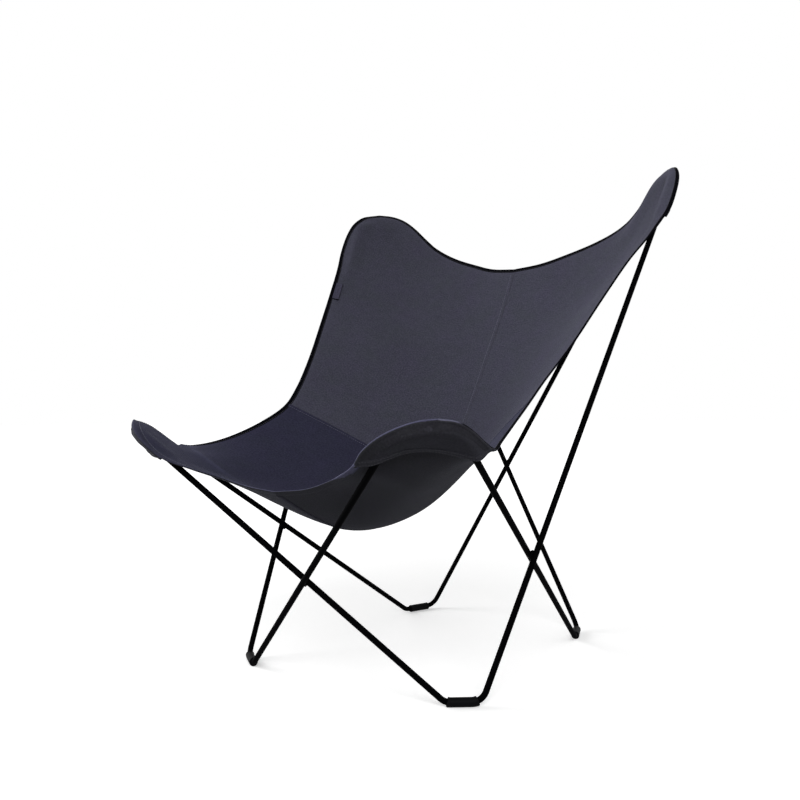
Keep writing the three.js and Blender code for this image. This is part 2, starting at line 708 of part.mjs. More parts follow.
function centreTape(part) {
  const [left, right] = [PANELS[`${part}_left`], PANELS[`${part}_right`]];
  const start = TAPE_WIDTH / 2 + LAYER_GAP;
  return left[0].map((_, k) => {
    const at = (grid, i) => (k === 0 ? along(grid[i][0], grid[i][1], start) : grid[i][k]);
    const [a, b, c] = [at(left, 1), at(left, 0), at(right, 1)];
    const mid = { point: b.point.clone().setX(0), normal: b.normal, side: 1 };
    const near = { ...along(b, a, TAPE_WIDTH / 2), side: -1 };
    return [near, mid, { ...along(at(right, 0), c, TAPE_WIDTH / 2), side: 1 }];
  });
}

const TAPE_TOP = -(CLOTH / 2 + TAPE_GAP);
for (const [name, rows] of [
  ['tape_waist', waistTape()], ['tape_seat', centreTape('seat')], ['tape_back', centreTape('back')],
]) {
  addMesh(name, layers(sidedGrid(rows), 1, TAPE_TOP, TAPE_TOP - TAPE_CLOTH), COLOURS.tape, 0.95, 0);
}

// The blank tag lies on the left back panel, beside the side edge.
function tag() {
  const span = TAG_LENGTH / SIDE.getLength();
  const grid = TAG_ROW_SHARES.map((share) => {
    const v = TAG_PLACE_SHARE + (share - 0.5) * span;
    const rim = clothPoint(1, v, -1).point.distanceTo(clothPoint(1 - NORMAL_RIM, v, -1).point);
    return [TAG_INSET + TAG_REACH, TAG_INSET].map((inset) => (
      clothPoint(1 - (NORMAL_RIM * inset) / rim, v, -1)));
  });
  const base = CLOTH / 2 + TAG_GAP;
  return layers(grid, -1, base + TAG_CLOTH, base);
}

addMesh('tag', tag(), COLOURS.tag, 0.85, 0);

// The origin is on the floor under the middle of the whole chair.
const whole = new THREE.Box3().setFromObject(chair);
const centre = whole.getCenter(new THREE.Vector3());
for (const piece of chair.children) piece.geometry.translate(-centre.x, -centre.y, 0);

export default chair;
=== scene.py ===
import math

import bpy
import numpy as np
from mathutils import Matrix, Vector
from mathutils.bvhtree import BVHTree


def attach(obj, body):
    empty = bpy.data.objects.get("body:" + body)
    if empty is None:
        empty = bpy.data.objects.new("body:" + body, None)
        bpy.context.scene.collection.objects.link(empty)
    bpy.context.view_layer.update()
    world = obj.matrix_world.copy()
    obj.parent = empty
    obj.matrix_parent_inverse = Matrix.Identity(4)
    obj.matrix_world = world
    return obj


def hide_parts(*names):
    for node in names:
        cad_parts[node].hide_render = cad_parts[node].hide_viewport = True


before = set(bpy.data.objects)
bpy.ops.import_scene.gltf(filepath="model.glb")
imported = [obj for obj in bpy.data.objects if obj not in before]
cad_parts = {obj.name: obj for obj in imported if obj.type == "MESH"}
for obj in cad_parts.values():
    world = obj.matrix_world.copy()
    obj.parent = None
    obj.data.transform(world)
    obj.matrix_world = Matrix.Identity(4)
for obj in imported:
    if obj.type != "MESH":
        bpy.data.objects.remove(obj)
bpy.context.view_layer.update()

# Lengths below are millimetres in the frame's own plan, until metres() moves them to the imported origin.
HALF_WIDTH, FRONT_REACH, BACK_REACH, HEIGHT = 391.0, 431.0, 454.0, 926.0
PACK_SHIFT = np.array([-0.136, -10.073, 0.0])
ROD_RADIUS, ROD_GAP, BEND_RADIUS = 5.0, 0.3, 25.0
BEND_STEPS, ROD_SIDES = 14, 28
GLIDE_LENGTH, GLIDE_WALL, GLIDE_FLAT = 48.0, 2.5, 0.5
FOOT_HEIGHT = ROD_RADIUS + ROD_GAP + GLIDE_WALL - GLIDE_FLAT
CLOTH, POCKET_CLOTH, LAYER_GAP = 2.0, 1.6, 0.3
# How wide the cloth gives way to a rod: the canvas, a pocket in its middle, and a pocket along its sewn edges.
RIDGE_WIDTH, POCKET_SPREAD, POCKET_HUG, SPREAD_REACH = 28.0, 52.0, 11.0, 2.15
ROD_ROOM, ROD_DEPTH, EDGE_ROLL, HEM_LIFT = 0.25, 60.0, 8.0, 12.0

CORNER_SHARES = {
    "frontLow": (-0.6785, -0.973, 0.4595), "frontHigh": (-0.819, -0.818, 0.4595),
    "backOuter": (0.969, 0.7225, 0.974), "backInner": (0.796, 0.916, 0.974),
}
FOOT_SHARES = {
    "frontInner": (0.504, -0.494), "frontOuter": (0.622, -0.4155), "backInner": (-0.4595, 0.7265),
}
SIDE_CROSSING_SHARE = 0.76
FRONT_TIP = (0.79, -0.9, 0.476)
BACK_TIP = (0.913, 0.848, 1)
FRONT_SHARES = [
    (0, -0.856, 0.3585), (0.153, -0.8515, 0.365), (0.281, -0.875, 0.379), (0.396, -0.9235, 0.394),
    (0.491, -0.97, 0.409), (0.56, -1, 0.432), (0.627, -0.998, 0.4515), (0.6905, -0.972, 0.4655),
    (0.744, -0.933, 0.474), FRONT_TIP,
]
SIDE_SHARES = [
    FRONT_TIP, (0.826, -0.8585, 0.473), (0.836, -0.789, 0.463), (0.836, -0.696, 0.4415),
    (0.818, -0.615, 0.43), (0.783, -0.538, 0.4285), (0.739, -0.429, 0.4395), (0.698, -0.2575, 0.47),
    (0.685, -0.1275, 0.502), (0.701, -0.035, 0.539), (0.757, 0.11, 0.609), (0.8235, 0.264, 0.698),
    (0.8875, 0.403, 0.7775), (0.951, 0.524, 0.84), (0.99, 0.599, 0.887), (1, 0.661, 0.935),
    (0.992, 0.705, 0.964), (0.964, 0.764, 0.987), BACK_TIP,
]
TOP_SHARES = [
    (0, 0.881, 0.824), (0.153, 0.9075, 0.8325), (0.294, 0.947, 0.851), (0.435, 0.978, 0.8725),
    (0.542, 0.998, 0.894), (0.614, 1, 0.9135), (0.678, 0.991, 0.9385), (0.7365, 0.971, 0.964),
    (0.798, 0.938, 0.985), (0.859, 0.8965, 0.997), BACK_TIP,
]
CENTRE_SHARES = [
    (0, -0.856, 0.3585), (0, -0.673, 0.314), (0, -0.499, 0.282), (0, -0.348, 0.271), (0, -0.174, 0.274),
    (0, 0, 0.2895), (0, 0.132, 0.3185), (0, 0.242, 0.3605), (0, 0.33, 0.4115), (0, 0.416, 0.47),
    (0, 0.48, 0.514), (0, 0.639, 0.632), (0, 0.758, 0.718), (0, 0.881, 0.824),
]
OUTLINE_REACH, SEAT_SOFT, BACK_SOFT, SOFT_SPAN = 0.34, 0.16, 0.66, (0.4, 0.8)
LIFT_SHARE, CORNER_FOLLOW, FOLLOW_SPAN = 0.1, 0.9, (0.2, 0.85)
SEAM_EDGE, SEAM_CENTRE = 0.36, 0.5
FRONT_MOUTH, BACK_MOUTH = (0.595, 0.12), (0.6, 0.82)
# The crease where the left front lobe leaves its pocket, and the nick that it makes in the left edge.
FOLD_ROW, FOLD_HEIGHT, FOLD_SPREAD, FOLD_SPAN, FOLD_END = 0.135, 5.0, 0.03, (0.45, 0.7), (0.75, 0.92)
NICK_ROW, NICK_DEPTH, NICK_FRONT, NICK_BACK, NICK_SPAN = 0.115, 12.0, 0.026, 0.03, (0.78, 1.0)


def place(share):
    x, y, z = share
    return np.array([x * HALF_WIDTH, y * (FRONT_REACH if y < 0 else BACK_REACH), z * HEIGHT])


def metres(points):
    return (np.asarray(points, float) + PACK_SHIFT) / 1000


def unit(vectors):
    length = np.linalg.norm(vectors, axis=-1, keepdims=True)
    return vectors / np.maximum(length, 1e-9)


def lerp(a, b, t):
    return a + (b - a) * t


def smoothstep(x, lo, hi):
    t = np.clip((x - lo) / (hi - lo), 0, 1)
    return t * t * (3 - 2 * t)


def sided(points, side):
    return points * np.array([side, 1, 1])


def path_run(points):
    return np.concatenate([[0], np.cumsum(np.linalg.norm(np.diff(points, axis=0), axis=1))])


def sampled(marks, run, values):
    return np.stack([np.interp(marks, run, values[:, k]) for k in range(3)], -1)


# Frame corners, as in the CAD part.
def foot(share):
    corner = place((*share, 0))
    corner[2] = FOOT_HEIGHT
    return corner


LOW, HIGH, OUTER, INNER = (place(x) for x in CORNER_SHARES.values())
FOOT_INNER, FOOT_OUTER, REAR_INNER = (foot(x) for x in FOOT_SHARES.values())
ROD_REACH = 2 * ROD_RADIUS + ROD_GAP


def mirror_step(start, end):
    way = end - start
    return ROD_REACH * math.hypot(way[1], way[2]) / abs(way[2])


LOOP_STEP = max(mirror_step(LOW, FOOT_INNER), mirror_step(INNER, REAR_INNER))


def rear_foot():
    start = sided(HIGH, -1)
    crossing = lerp(OUTER, FOOT_OUTER, SIDE_CROSSING_SHARE)
    leg_way = FOOT_OUTER - OUTER
    through = crossing.copy()
    for _ in range(6):
        normal = unit(np.cross(leg_way, through - start))
        normal = normal * np.sign(normal[0])
        through = crossing - normal * (ROD_REACH + LOOP_STEP * abs(normal[1]))
    share = (FOOT_HEIGHT - start[2]) / (through[2] - start[2])
    return sided(lerp(start, through, share), -1)


REAR_OUTER = rear_foot()
STEP = np.array([0, LOOP_STEP / 2, 0])
CORNERS = [LOW, FOOT_INNER, FOOT_OUTER, OUTER, INNER, REAR_INNER, REAR_OUTER, HIGH]
LOOPS = {"a": [p + STEP for p in CORNERS], "b": [sided(p, -1) - STEP for p in CORNERS]}


def bent_path(corners, closed=False):
    """Points and tangents along straight runs joined by round bends."""
    count = len(corners)
    points, tangents = ([], []) if closed else ([corners[0]], [unit(corners[1] - corners[0])])
    for i in range(count) if closed else range(1, count - 1):
        into, out = unit(corners[i] - corners[i - 1]), unit(corners[(i + 1) % count] - corners[i])
        turn = math.acos(max(-1.0, min(1.0, float(into @ out))))
        inward = unit(out - into * (out @ into))
        hub = corners[i] + (inward - into * math.tan(turn / 2)) * BEND_RADIUS
        for angle in np.linspace(0, turn, BEND_STEPS + 1):
            points.append(hub + (into * math.sin(angle) - inward * math.cos(angle)) * BEND_RADIUS)
            tangents.append(into * math.cos(angle) + inward * math.sin(angle))
    if not closed:
        points.append(corners[-1])
        tangents.append(unit(corners[-1] - corners[-2]))
    return np.array(points), np.array(tangents)


# The cloth's surface, as in the CAD part but for the crease and nick: s runs from the middle line to the side
# edge, v from front to top.
def outline(shares):
    marks = np.array([place(p) for p in shares])
    full = np.vstack([2 * marks[0] - marks[1], marks, 2 * marks[-1] - marks[-2]])
    dense = []
    steps = np.linspace(0, 1, 60, endpoint=False)[:, None]
    for k in range(len(marks) - 1):
        p0, p1, p2, p3 = full[k:k + 4]
        d0, d1, d2 = (np.linalg.norm(b - a) ** 0.5 for a, b in ((p0, p1), (p1, p2), (p2, p3)))
        t1 = ((p1 - p0) / d0 - (p2 - p0) / (d0 + d1) + (p2 - p1) / d1) * d1
        t2 = ((p2 - p1) / d1 - (p3 - p1) / (d1 + d2) + (p3 - p2) / d2) * d1
        c2, c3 = 3 * (p2 - p1) - 2 * t1 - t2, 2 * (p1 - p2) + t1 + t2
        dense.append(p1 + t1 * steps + c2 * steps ** 2 + c3 * steps ** 3)
    points = np.vstack([*dense, marks[-1:]])
    run = path_run(points)
    return run / run[-1], points


FRONT, SIDE, TOP, CENTRE = (outline(x) for x in (FRONT_SHARES, SIDE_SHARES, TOP_SHARES, CENTRE_SHARES))


def along(curve, share):
    return sampled(share, *curve)


def fall_off(share):
    t = np.clip(share / OUTLINE_REACH, 0, 1)
    return (1 - t) ** 2 * (1 + 2 * t)


def between(s, v):
    soft = lerp(SEAT_SOFT, BACK_SOFT, smoothstep(v, *SOFT_SPAN))
    rise = (np.hypot(s, soft) - soft) / (np.hypot(1, soft) - soft)
    edge = along(SIDE, v)
    point = lerp(along(CENTRE, v), edge, rise[..., None])
    point[..., 0] = edge[..., 0] * s
    return point


def surface(s, v, side):
    s, v = np.broadcast_arrays(np.asarray(s, float), np.asarray(v, float))
    zero = np.zeros_like(s)
    front = along(FRONT, s) - between(s, zero)
    top = along(TOP, s) - between(s, zero + 1)
    point = between(s, v) + front * fall_off(v)[..., None] + top * fall_off(1 - v)[..., None]
    swell = ((v / LIFT_SHARE) * np.exp(1 - v / LIFT_SHARE)) ** 2
    point[..., 2] += HEM_LIFT * swell * np.sin(np.pi * s) ** 2
    if side < 0:
        fold = FOLD_HEIGHT * np.exp(-np.abs(v - FOLD_ROW) / FOLD_SPREAD)
        point[..., 2] += fold * smoothstep(s, *FOLD_SPAN) * (1 - smoothstep(s, *FOLD_END))
        reach = np.where(v < NICK_ROW, NICK_FRONT, NICK_BACK)
        point[..., 2] -= NICK_DEPTH * np.exp(-np.abs(v - NICK_ROW) / reach) * smoothstep(s, *NICK_SPAN)
    follow = (fall_off(1 - v) - fall_off(v)) * smoothstep(s, *FOLLOW_SPAN)
    point[..., 1] += side * follow * CORNER_FOLLOW * LOOP_STEP / 2
    return point


NORMAL_STEP, NORMAL_RIM = 0.004, 0.03
# The rods are looked at in steps, within these distances of the rim's front and back ends.
ROD_STEP, FRONT_ZONE, BACK_ZONE = 2.5, 260.0, 300.0
CHUNK = 3000


def face_normal(s, v, side):
    sc, vc = np.clip(s, 0, 1 - NORMAL_RIM), np.clip(v, NORMAL_RIM, 1 - NORMAL_RIM)
    low, high = np.maximum(sc - NORMAL_STEP, 0), np.minimum(sc + NORMAL_STEP, 1)
    across = surface(high, vc, side) - surface(low, vc, side)
    up = surface(sc, vc + NORMAL_STEP, side) - surface(sc, vc - NORMAL_STEP, side)
    normal = np.cross(across, up)
    normal[s < 1e-6, 0] = 0
    return unit(normal)


def rim_line(side):
    t = np.linspace(0, 1, 161)
    return np.vstack([surface(t, 0, side), surface(1, t, side)[1:], surface(1 - t, 1, side)[1:]])


def pocket_rods(side):
    front = LOOPS["b" if side > 0 else "a"]
    back = LOOPS["a" if side > 0 else "b"]
    dense = []
    for corners in ([*front[6:], *front[:2]], back[2:6]):
        path, _ = bent_path([sided(p, side) for p in corners])
        for a, b in zip(path[:-1], path[1:]):
            count = max(1, math.ceil(np.linalg.norm(b - a) / ROD_STEP))
            dense += [lerp(a, b, k / count) for k in range(count)]
    dense = np.array(dense)
    rim = rim_line(side)[:, 1]
    return dense[(dense[:, 1] < rim.min() + FRONT_ZONE) | (dense[:, 1] > rim.max() - BACK_ZONE)]


RIMS = {k: rim_line(k) for k in (1, -1)}
RODS = {k: pocket_rods(k) for k in (1, -1)}


def edge_distance(points, side):
    a, b = RIMS[side][:-1], RIMS[side][1:]
    way = b - a
    length = np.maximum((way * way).sum(1), 1e-9)
    out = np.empty(len(points))
    for i in range(0, len(points), CHUNK):
        gap = points[i:i + CHUNK, None] - a
        t = np.clip((gap * way).sum(2) / length, 0, 1)
        out[i:i + CHUNK] = np.linalg.norm(gap - way * t[..., None], axis=2).min(1)
    return out


def stand_off(points, normals, side, way, spread, cloth):
    """How far cloth must move to clear the rods, fading out over spread beside a rod. way is 1 for cloth on the
    rods and -1 for cloth under them."""
    need = ROD_RADIUS + LAYER_GAP + cloth / 2 + ROD_ROOM
    shape = points.shape[:-1]
    spread = np.broadcast_to(spread, shape).reshape(-1, 1)
    p, n = points.reshape(-1, 3), normals.reshape(-1, 3)
    best = np.zeros(len(p))
    for i in range(0, len(p), CHUNK):
        here = slice(i, i + CHUNK)
        gap = p[here, None] - RODS[side]
        height = (gap * n[here, None]).sum(2) * way
        aside = np.sqrt(np.maximum(0, (gap * gap).sum(2) - height ** 2))
        seen = (aside < spread[here] * SPREAD_REACH) & (height > -ROD_DEPTH)
        near = np.exp(-(aside / spread[here]) ** 2)
        best[here] = (np.maximum(0, need - height) * near * seen).max(1)
    return best.reshape(shape)


def edge_roll(points, side):
    """How far a layer has come away from the rim, where both are sewn together."""
    near = np.minimum(edge_distance(points.reshape(-1, 3), side), EDGE_ROLL) / EDGE_ROLL
    return np.sin(near * np.pi / 2).reshape(points.shape[:-1])


def cloth(s, v, side):
    """The middle of the canvas and its upward normal, on the right half's coordinates."""
    point = surface(s, v, side)
    normal = face_normal(s, v, side)
    lift = stand_off(point, normal, side, 1, RIDGE_WIDTH, CLOTH)
    # The lift rolls down to the rim, but not on the left back lobe, which stands up straight.
    upright = smoothstep(v, 0.4, 0.6) * (side < 0)
    lift = lift * lerp(edge_roll(point, side), 1, upright)
    return point + normal * lift[..., None], normal


def seam_row(s):
    return lerp(SEAM_CENTRE, SEAM_EDGE, s)


# Mesh helpers.
SHARP_ANGLE = math.radians(50)


def add_object(name, data):
    obj = bpy.data.objects.new(name, data)
    bpy.context.scene.collection.objects.link(obj)
    return obj


def add_mesh(name, verts, faces, material, attributes=None, picks=None):
    """material is one, or a list that picks chooses from, face by face."""
    mesh = bpy.data.meshes.new(name)
    mesh.from_pydata(metres(verts).tolist(), [], faces)
    for each in material if isinstance(material, list) else [material]:
        mesh.materials.append(each)
    if picks is not None:
        mesh.polygons.foreach_set("material_index", picks)
    mesh.polygons.foreach_set("use_smooth", [True] * len(mesh.polygons))
    mesh.set_sharp_from_angle(angle=SHARP_ANGLE)
    for key, values in (attributes or {}).items():
        kind, entry = ("FLOAT_VECTOR", "vector") if values.ndim == 2 else ("FLOAT", "value")
        data = mesh.attributes.new(key, kind, "POINT")
        data.data.foreach_set(entry, values.astype(np.float32).ravel())
    obj = add_object(name, mesh)
    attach(obj, "root")
    return obj


def grid_quads(index):
    return np.stack([index[:-1, :-1], index[1:, :-1], index[1:, 1:], index[:-1, 1:]], -1).reshape(-1, 4)


def facing_out(verts, faces):
    """Turns a closed shell's faces outward."""
    fans = np.array([(f[0], f[i], f[i + 1]) for f in faces for i in range(1, len(f) - 1)])
    a, b, c = (verts[fans[:, k]] for k in range(3))
    return faces if (a * np.cross(b, c)).sum() > 0 else [f[::-1] for f in faces]


def grid_shell(name, upper, lower, material, attributes=None):
    rows, cols = upper.shape[:2]
    size = rows * cols
    index = np.arange(size).reshape(rows, cols)
    top = grid_quads(index)
    faces = top.tolist() + (top[:, ::-1] + size).tolist()
    picks = [0] * len(top) + [1] * len(top)
    rim_pick = 2 if isinstance(material, list) and len(material) > 2 else 0
    rim = [*index[:-1, 0], *index[-1, :-1], *index[:0:-1, -1], *index[0, :0:-1]]
    for p, q in zip(rim, rim[1:] + rim[:1]):
        faces.append([int(q), int(p), int(p) + size, int(q) + size])
        picks.append(rim_pick)
    verts = np.vstack([upper.reshape(-1, 3), lower.reshape(-1, 3)])
    doubled = {k: np.concatenate([x.reshape(size, *x.shape[2:])] * 2) for k, x in (attributes or {}).items()}
    picks = picks if isinstance(material, list) else None
    return add_mesh(name, verts, facing_out(verts, faces), material, doubled, picks)


def ring_shell(name, rings, material, closed=False, attributes=None, picks=None):
    """rings is (stations, points round, 3): a tube, capped unless it closes on itself."""
    count, around = rings.shape[:2]
    index = np.arange(count * around).reshape(count, around)
    ahead = np.roll(index, -1, 0) if closed else index[1:]
    here = index if closed else index[:-1]
    quads = np.stack([here, np.roll(here, -1, 1), np.roll(ahead, -1, 1), ahead], -1).reshape(-1, 4).tolist()
    if not closed:
        quads += [index[0, ::-1].tolist(), index[-1].tolist()]
    verts = rings.reshape(-1, 3)
    flat = {k: x.reshape(count * around, *x.shape[2:]) for k, x in (attributes or {}).items()}
    if picks is not None:
        picks = list(picks) + [0] * (len(quads) - len(picks))
    return add_mesh(name, verts, facing_out(verts, quads), material, flat, picks)


def frames_along(points, tangents, closed):
    """Two directions across a path, carried along it without twist."""
    across = np.cross(tangents[0], (0, 0, 1))
    if np.linalg.norm(across) < 0.2:
        across = np.cross(tangents[0], (1, 0, 0))
    across = unit(across)
    out = []
    for t in tangents:
        across = unit(across - t * (across @ t))
        out.append((across, np.cross(t, across)))
    if closed:
        last = unit(out[-1][0] - tangents[0] * (out[-1][0] @ tangents[0]))
        twist = math.atan2(float(np.dot(np.cross(last, out[0][0]), tangents[0])), float(last @ out[0][0]))
        run = path_run(points)
        run = run / (run[-1] + np.linalg.norm(points[0] - points[-1]))
        turns = [(math.cos(twist * r), math.sin(twist * r)) for r in run]
        out = [(a * c + b * s, b * c - a * s) for (a, b), (c, s) in zip(out, turns)]
    return np.array(out)


def tube(points, tangents, radii, sides, closed=False):
    axes = frames_along(points, tangents, closed)
    angle = np.arange(sides) / sides * 2 * np.pi
    ring = axes[:, None, 0] * np.cos(angle)[None, :, None] + axes[:, None, 1] * np.sin(angle)[None, :, None]
    return points[:, None] + ring * np.asarray(radii, float).reshape(-1, 1, 1)


# Materials.
def new_material(name):
    material = bpy.data.materials.new(name)
    material.use_nodes = True
    tree = material.node_tree
    return material, tree, tree.nodes["Principled BSDF"]


def link(tree, a, b):
    tree.links.new(a, b)


def node(tree, kind, **values):
    made = tree.nodes.new(kind)
    for key, value in values.items():
        if key in made.inputs:
            made.inputs[key].default_value = value
        else:
            setattr(made, key, value)
    return made


def set_sockets(made, values):
    for key, value in values.items():
        made.inputs[key].default_value = value


def noise(tree, where, scale, detail, roughness):
    made = node(tree, "ShaderNodeTexNoise", Scale=scale, Detail=detail, Roughness=roughness)
    link(tree, where, made.inputs["Vector"])
    return made.outputs[0]


def ranged(tree, value, low, high, to_low=0.0, to_high=1.0):
    """A value between low and high, moved to another range."""
    made = tree.nodes.new("ShaderNodeMapRange")
    set_sockets(made, {"From Min": low, "From Max": high, "To Min": to_low, "To Max": to_high})
    link(tree, value, made.inputs["Value"])
    return made.outputs[0]


def feed(tree, socket, value):
    """Sets a constant or a colour on a socket, or links an output to it."""
    if isinstance(value, (int, float)):
        socket.default_value = value
    elif isinstance(value, tuple):
        socket.default_value = (*value, 1)
    else:
        link(tree, value, socket)


def maths(tree, operation, a, b, clamp=False):
    made = node(tree, "ShaderNodeMath", operation=operation, use_clamp=clamp)
    feed(tree, made.inputs[0], a)
    feed(tree, made.inputs[1], b)
    return made.outputs[0]


def weighted(tree, *parts):
    """The sum of some fields, each times its share."""
    total, *rest = (maths(tree, "MULTIPLY", field, share) for field, share in parts)
    for part in rest:
        total = maths(tree, "ADD", total, part)
    return total


def mix_colour(tree, factor, a, b, blend="MIX"):
    made = node(tree, "ShaderNodeMix", data_type="RGBA", blend_type=blend)
    for k, value in ((0, factor), (6, a), (7, b)):
        feed(tree, made.inputs[k], value)
    return made.outputs[2]


def linear(*colour):
    """An sRGB colour of 0 to 255 as linear light."""
    shares = (c / 255 for c in colour)
    return tuple(c / 12.92 if c <= 0.04045 else ((c + 0.055) / 1.055) ** 2.4 for c in shares)


def scaled(colour, share):
    return tuple(c * share for c in colour)


def bumped(tree, shader, height, strength, distance):
    bump = node(tree, "ShaderNodeBump", Strength=strength, Distance=distance)
    link(tree, height, bump.inputs["Height"])
    link(tree, bump.outputs[0], shader.inputs["Normal"])


THREAD = 0.0011
BAND_PERIOD = 2 * math.pi / 20
VIOLET_TINT, GREEN_TINT, SHEEN_TINT = (1.03, 0.985, 1.06), (0.975, 1.015, 0.955), (0.72, 0.74, 0.95, 1)


def canvas(name, colour, thread=THREAD, depth=0.00022, sheen=0.06, pale=1.75, spread_by=0.3, gloss=0.05):
    """Woven canvas: threads, slubs, a two-tint mottled dye and painted shade in the weave's hollows. Marked
    places
    are pale times as light: wear and painted highlights, and painted shade where pale is below 1.
    """
    material, tree, shader = new_material(name)
    where = node(tree, "ShaderNodeAttribute", attribute_name="flat").outputs["Vector"]
    bands = []
    for way in ("X", "Y"):
        wave = node(tree, "ShaderNodeTexWave", wave_type="BANDS", bands_direction=way)
        set_sockets(wave, {"Scale": BAND_PERIOD / thread, "Distortion": 1.4, "Detail": 2, "Detail Scale": 1.5})
        link(tree, where, wave.inputs["Vector"])
        bands.append(wave.outputs["Fac"])
    crests, crossings = (maths(tree, rule, *bands) for rule in ("MAXIMUM", "MULTIPLY"))
    threads = weighted(tree, (crests, 0.6), (crossings, 0.4))
    slub, mottle = noise(tree, where, 330, 3, 0.6), noise(tree, where, 60, 5, 0.7)
    cloud, hue = noise(tree, where, 6, 3, 0.5), noise(tree, where, 14, 5, 0.7)
    tone = ranged(tree, weighted(tree, (slub, 0.72), (mottle, 0.18), (cloud, 0.1)), 0.38, 0.62)
    dyed = mix_colour(tree, tone, scaled(colour, 1 - spread_by), scaled(colour, 1 + spread_by * 1.1))
    tint = mix_colour(tree, ranged(tree, hue, 0.35, 0.65), VIOLET_TINT, GREEN_TINT)
    dyed = mix_colour(tree, 1.0, dyed, tint, "MULTIPLY")
    # Painted shade: the hollows between the threads are darkened towards half the colour.
    hollow_shade = maths(tree, "MULTIPLY", maths(tree, "SUBTRACT", 1.0, threads), 0.35)
    dye_with_hollow_shade = mix_colour(tree, hollow_shade, dyed, scaled(colour, 0.5))
    # The marked places hold wear and painted light: painted highlights on the hem, binding, crease and rod
    # ridges, and painted shade on the tag.
    wear_and_painted_light = node(tree, "ShaderNodeAttribute", attribute_name="wear_and_painted_light").outputs["Fac"]
    worn = maths(tree, "MULTIPLY", wear_and_painted_light, maths(tree, "MULTIPLY", mottle, 1.1), clamp=True)
    link(tree, mix_colour(tree, worn, dye_with_hollow_shade, scaled(colour, pale)), shader.inputs["Base Color"])
    set_sockets(shader, {"Roughness": 0.88, "Specular IOR Level": gloss, "Sheen Weight": sheen,
                         "Sheen Roughness": 0.45, "Sheen Tint": SHEEN_TINT})
    bumped(tree, shader, maths(tree, "ADD", threads, maths(tree, "MULTIPLY", slub, 0.8)), 0.55, depth)
    return material


def coated(name, colour, roughness, grain, depth, specular):
    """Painted steel or moulded plastic: a fine peel or grain, slight rubs and dust."""
    material, tree, shader = new_material(name)
    where = node(tree, "ShaderNodeTexCoord").outputs["Object"]
    peel, dust = noise(tree, where, grain, 3, 0.55), noise(tree, where, 24, 6, 0.65)
    dusty = mix_colour(tree, ranged(tree, dust, 0.45, 0.75), colour, scaled(colour, 1.9))
    link(tree, dusty, shader.inputs["Base Color"])
    link(tree, ranged(tree, dust, 0.0, 1.0, roughness - 0.08, roughness + 0.12), shader.inputs["Roughness"])
    shader.inputs["Specular IOR Level"].default_value = specular
    bumped(tree, shader, peel, 0.35, depth)
    return material


def thread_material(name, colour):
    material, tree, shader = new_material(name)
    twist = noise(tree, node(tree, "ShaderNodeTexCoord").outputs["Object"], 1800, 2, 0.5)
    twisted = mix_colour(tree, twist, scaled(colour, 0.75), scaled(colour, 1.25))
    link(tree, twisted, shader.inputs["Base Color"])
    shader.inputs["Roughness"].default_value = 0.7
    bumped(tree, shader, twist, 0.4, 0.0001)
    return material


BACK_CANVAS = canvas("canvas_back", linear(66, 66, 78))
SEAT_CANVAS = canvas("canvas_seat", linear(46, 46, 62.5))
# The panels' lower faces, and what shows below the trim, get this darker copy of the canvas: painted shade.
SHADED_UNDER_CANVAS = canvas("canvas_under_painted_shade", linear(41, 41, 45.5), spread_by=0.2)
POCKET_CANVAS = canvas("canvas_pocket", linear(45.5, 45.5, 51), spread_by=0.18)
# Its marked places are 4.6 times as light: the painted highlight along the front hem, partly wear.
HEM_CANVAS = canvas("canvas_hem", linear(48, 48, 63), pale=4.6)
# Marked places of the binding are 40 times as light: the painted highlight at the right binding's start.
BINDING = canvas("binding_tape", linear(9, 9, 13), thread=0.0008, depth=0.00016, sheen=0, pale=40, gloss=0.01)
TAPE = canvas("seam_tape", linear(44, 44, 52), thread=0.0009, depth=0.00016, sheen=0.03)
# The tag's marked places are darkened to 0.06 of its colour, and the next material, on the tag's rim, is near
# black: painted shade along the tag's edges.
TAG = canvas("tag_weave", linear(66, 65, 80), thread=0.0006, depth=0.0001, sheen=0.03, pale=0.06)
TAG_EDGE_SHADE = canvas("tag_fold_painted_shade", linear(9, 9, 13), thread=0.0006, depth=0.0001, sheen=0.02)
FRAME = coated("frame_coat", linear(3, 3, 4), 0.6, 900, 0.00006, 0.006)
WELD = coated("weld_coat", linear(3, 3, 4), 0.6, 500, 0.0003, 0.008)
GLIDE = coated("glide_plastic", linear(8, 8, 10), 0.55, 1500, 0.00008, 0.04)
THREAD_DARK = thread_material("thread_dark", linear(30, 30, 38))
THREAD_PALE = thread_material("thread_pale", linear(84, 85, 100))


# Rod loops.
def rod_loop(key):
    points, tangents = bent_path(LOOPS[key], closed=True)
    rings = tube(points, tangents, ROD_RADIUS, ROD_SIDES, closed=True)
    loop = ring_shell(f"rod_loop_{key}", rings, FRAME, closed=True)
    words = {"a": ("front", "right", "rear", "left"), "b": ("front", "left", "rear", "right")}[key]
    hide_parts(*(f"leg_{key}_{word}" for word in words))


rod_loop("a")
rod_loop("b")

# Glides: moulded sleeves with a rounded lip at each end and a flat sole. The lip is by distance from the end.
GLIDE_OUTER, GLIDE_BORE = ROD_RADIUS + ROD_GAP + GLIDE_WALL, ROD_RADIUS + 0.05
GLIDE_BARREL = GLIDE_OUTER - 0.3
GLIDE_LIP = [
    (0.9, GLIDE_BORE), (0.1, GLIDE_BORE + 0.6), (0, GLIDE_BORE + 1.2), (0.25, GLIDE_OUTER - 0.55),
    (0.9, GLIDE_OUTER - 0.12), (1.8, GLIDE_OUTER + 0.05), (2.6, GLIDE_OUTER + 0.05), (3.3, GLIDE_OUTER - 0.25),
    (3.9, GLIDE_BARREL), (4.8, GLIDE_BARREL),
]
BARREL_START, BARREL_MARKS, GLIDE_SIDES = 7, 20, 32


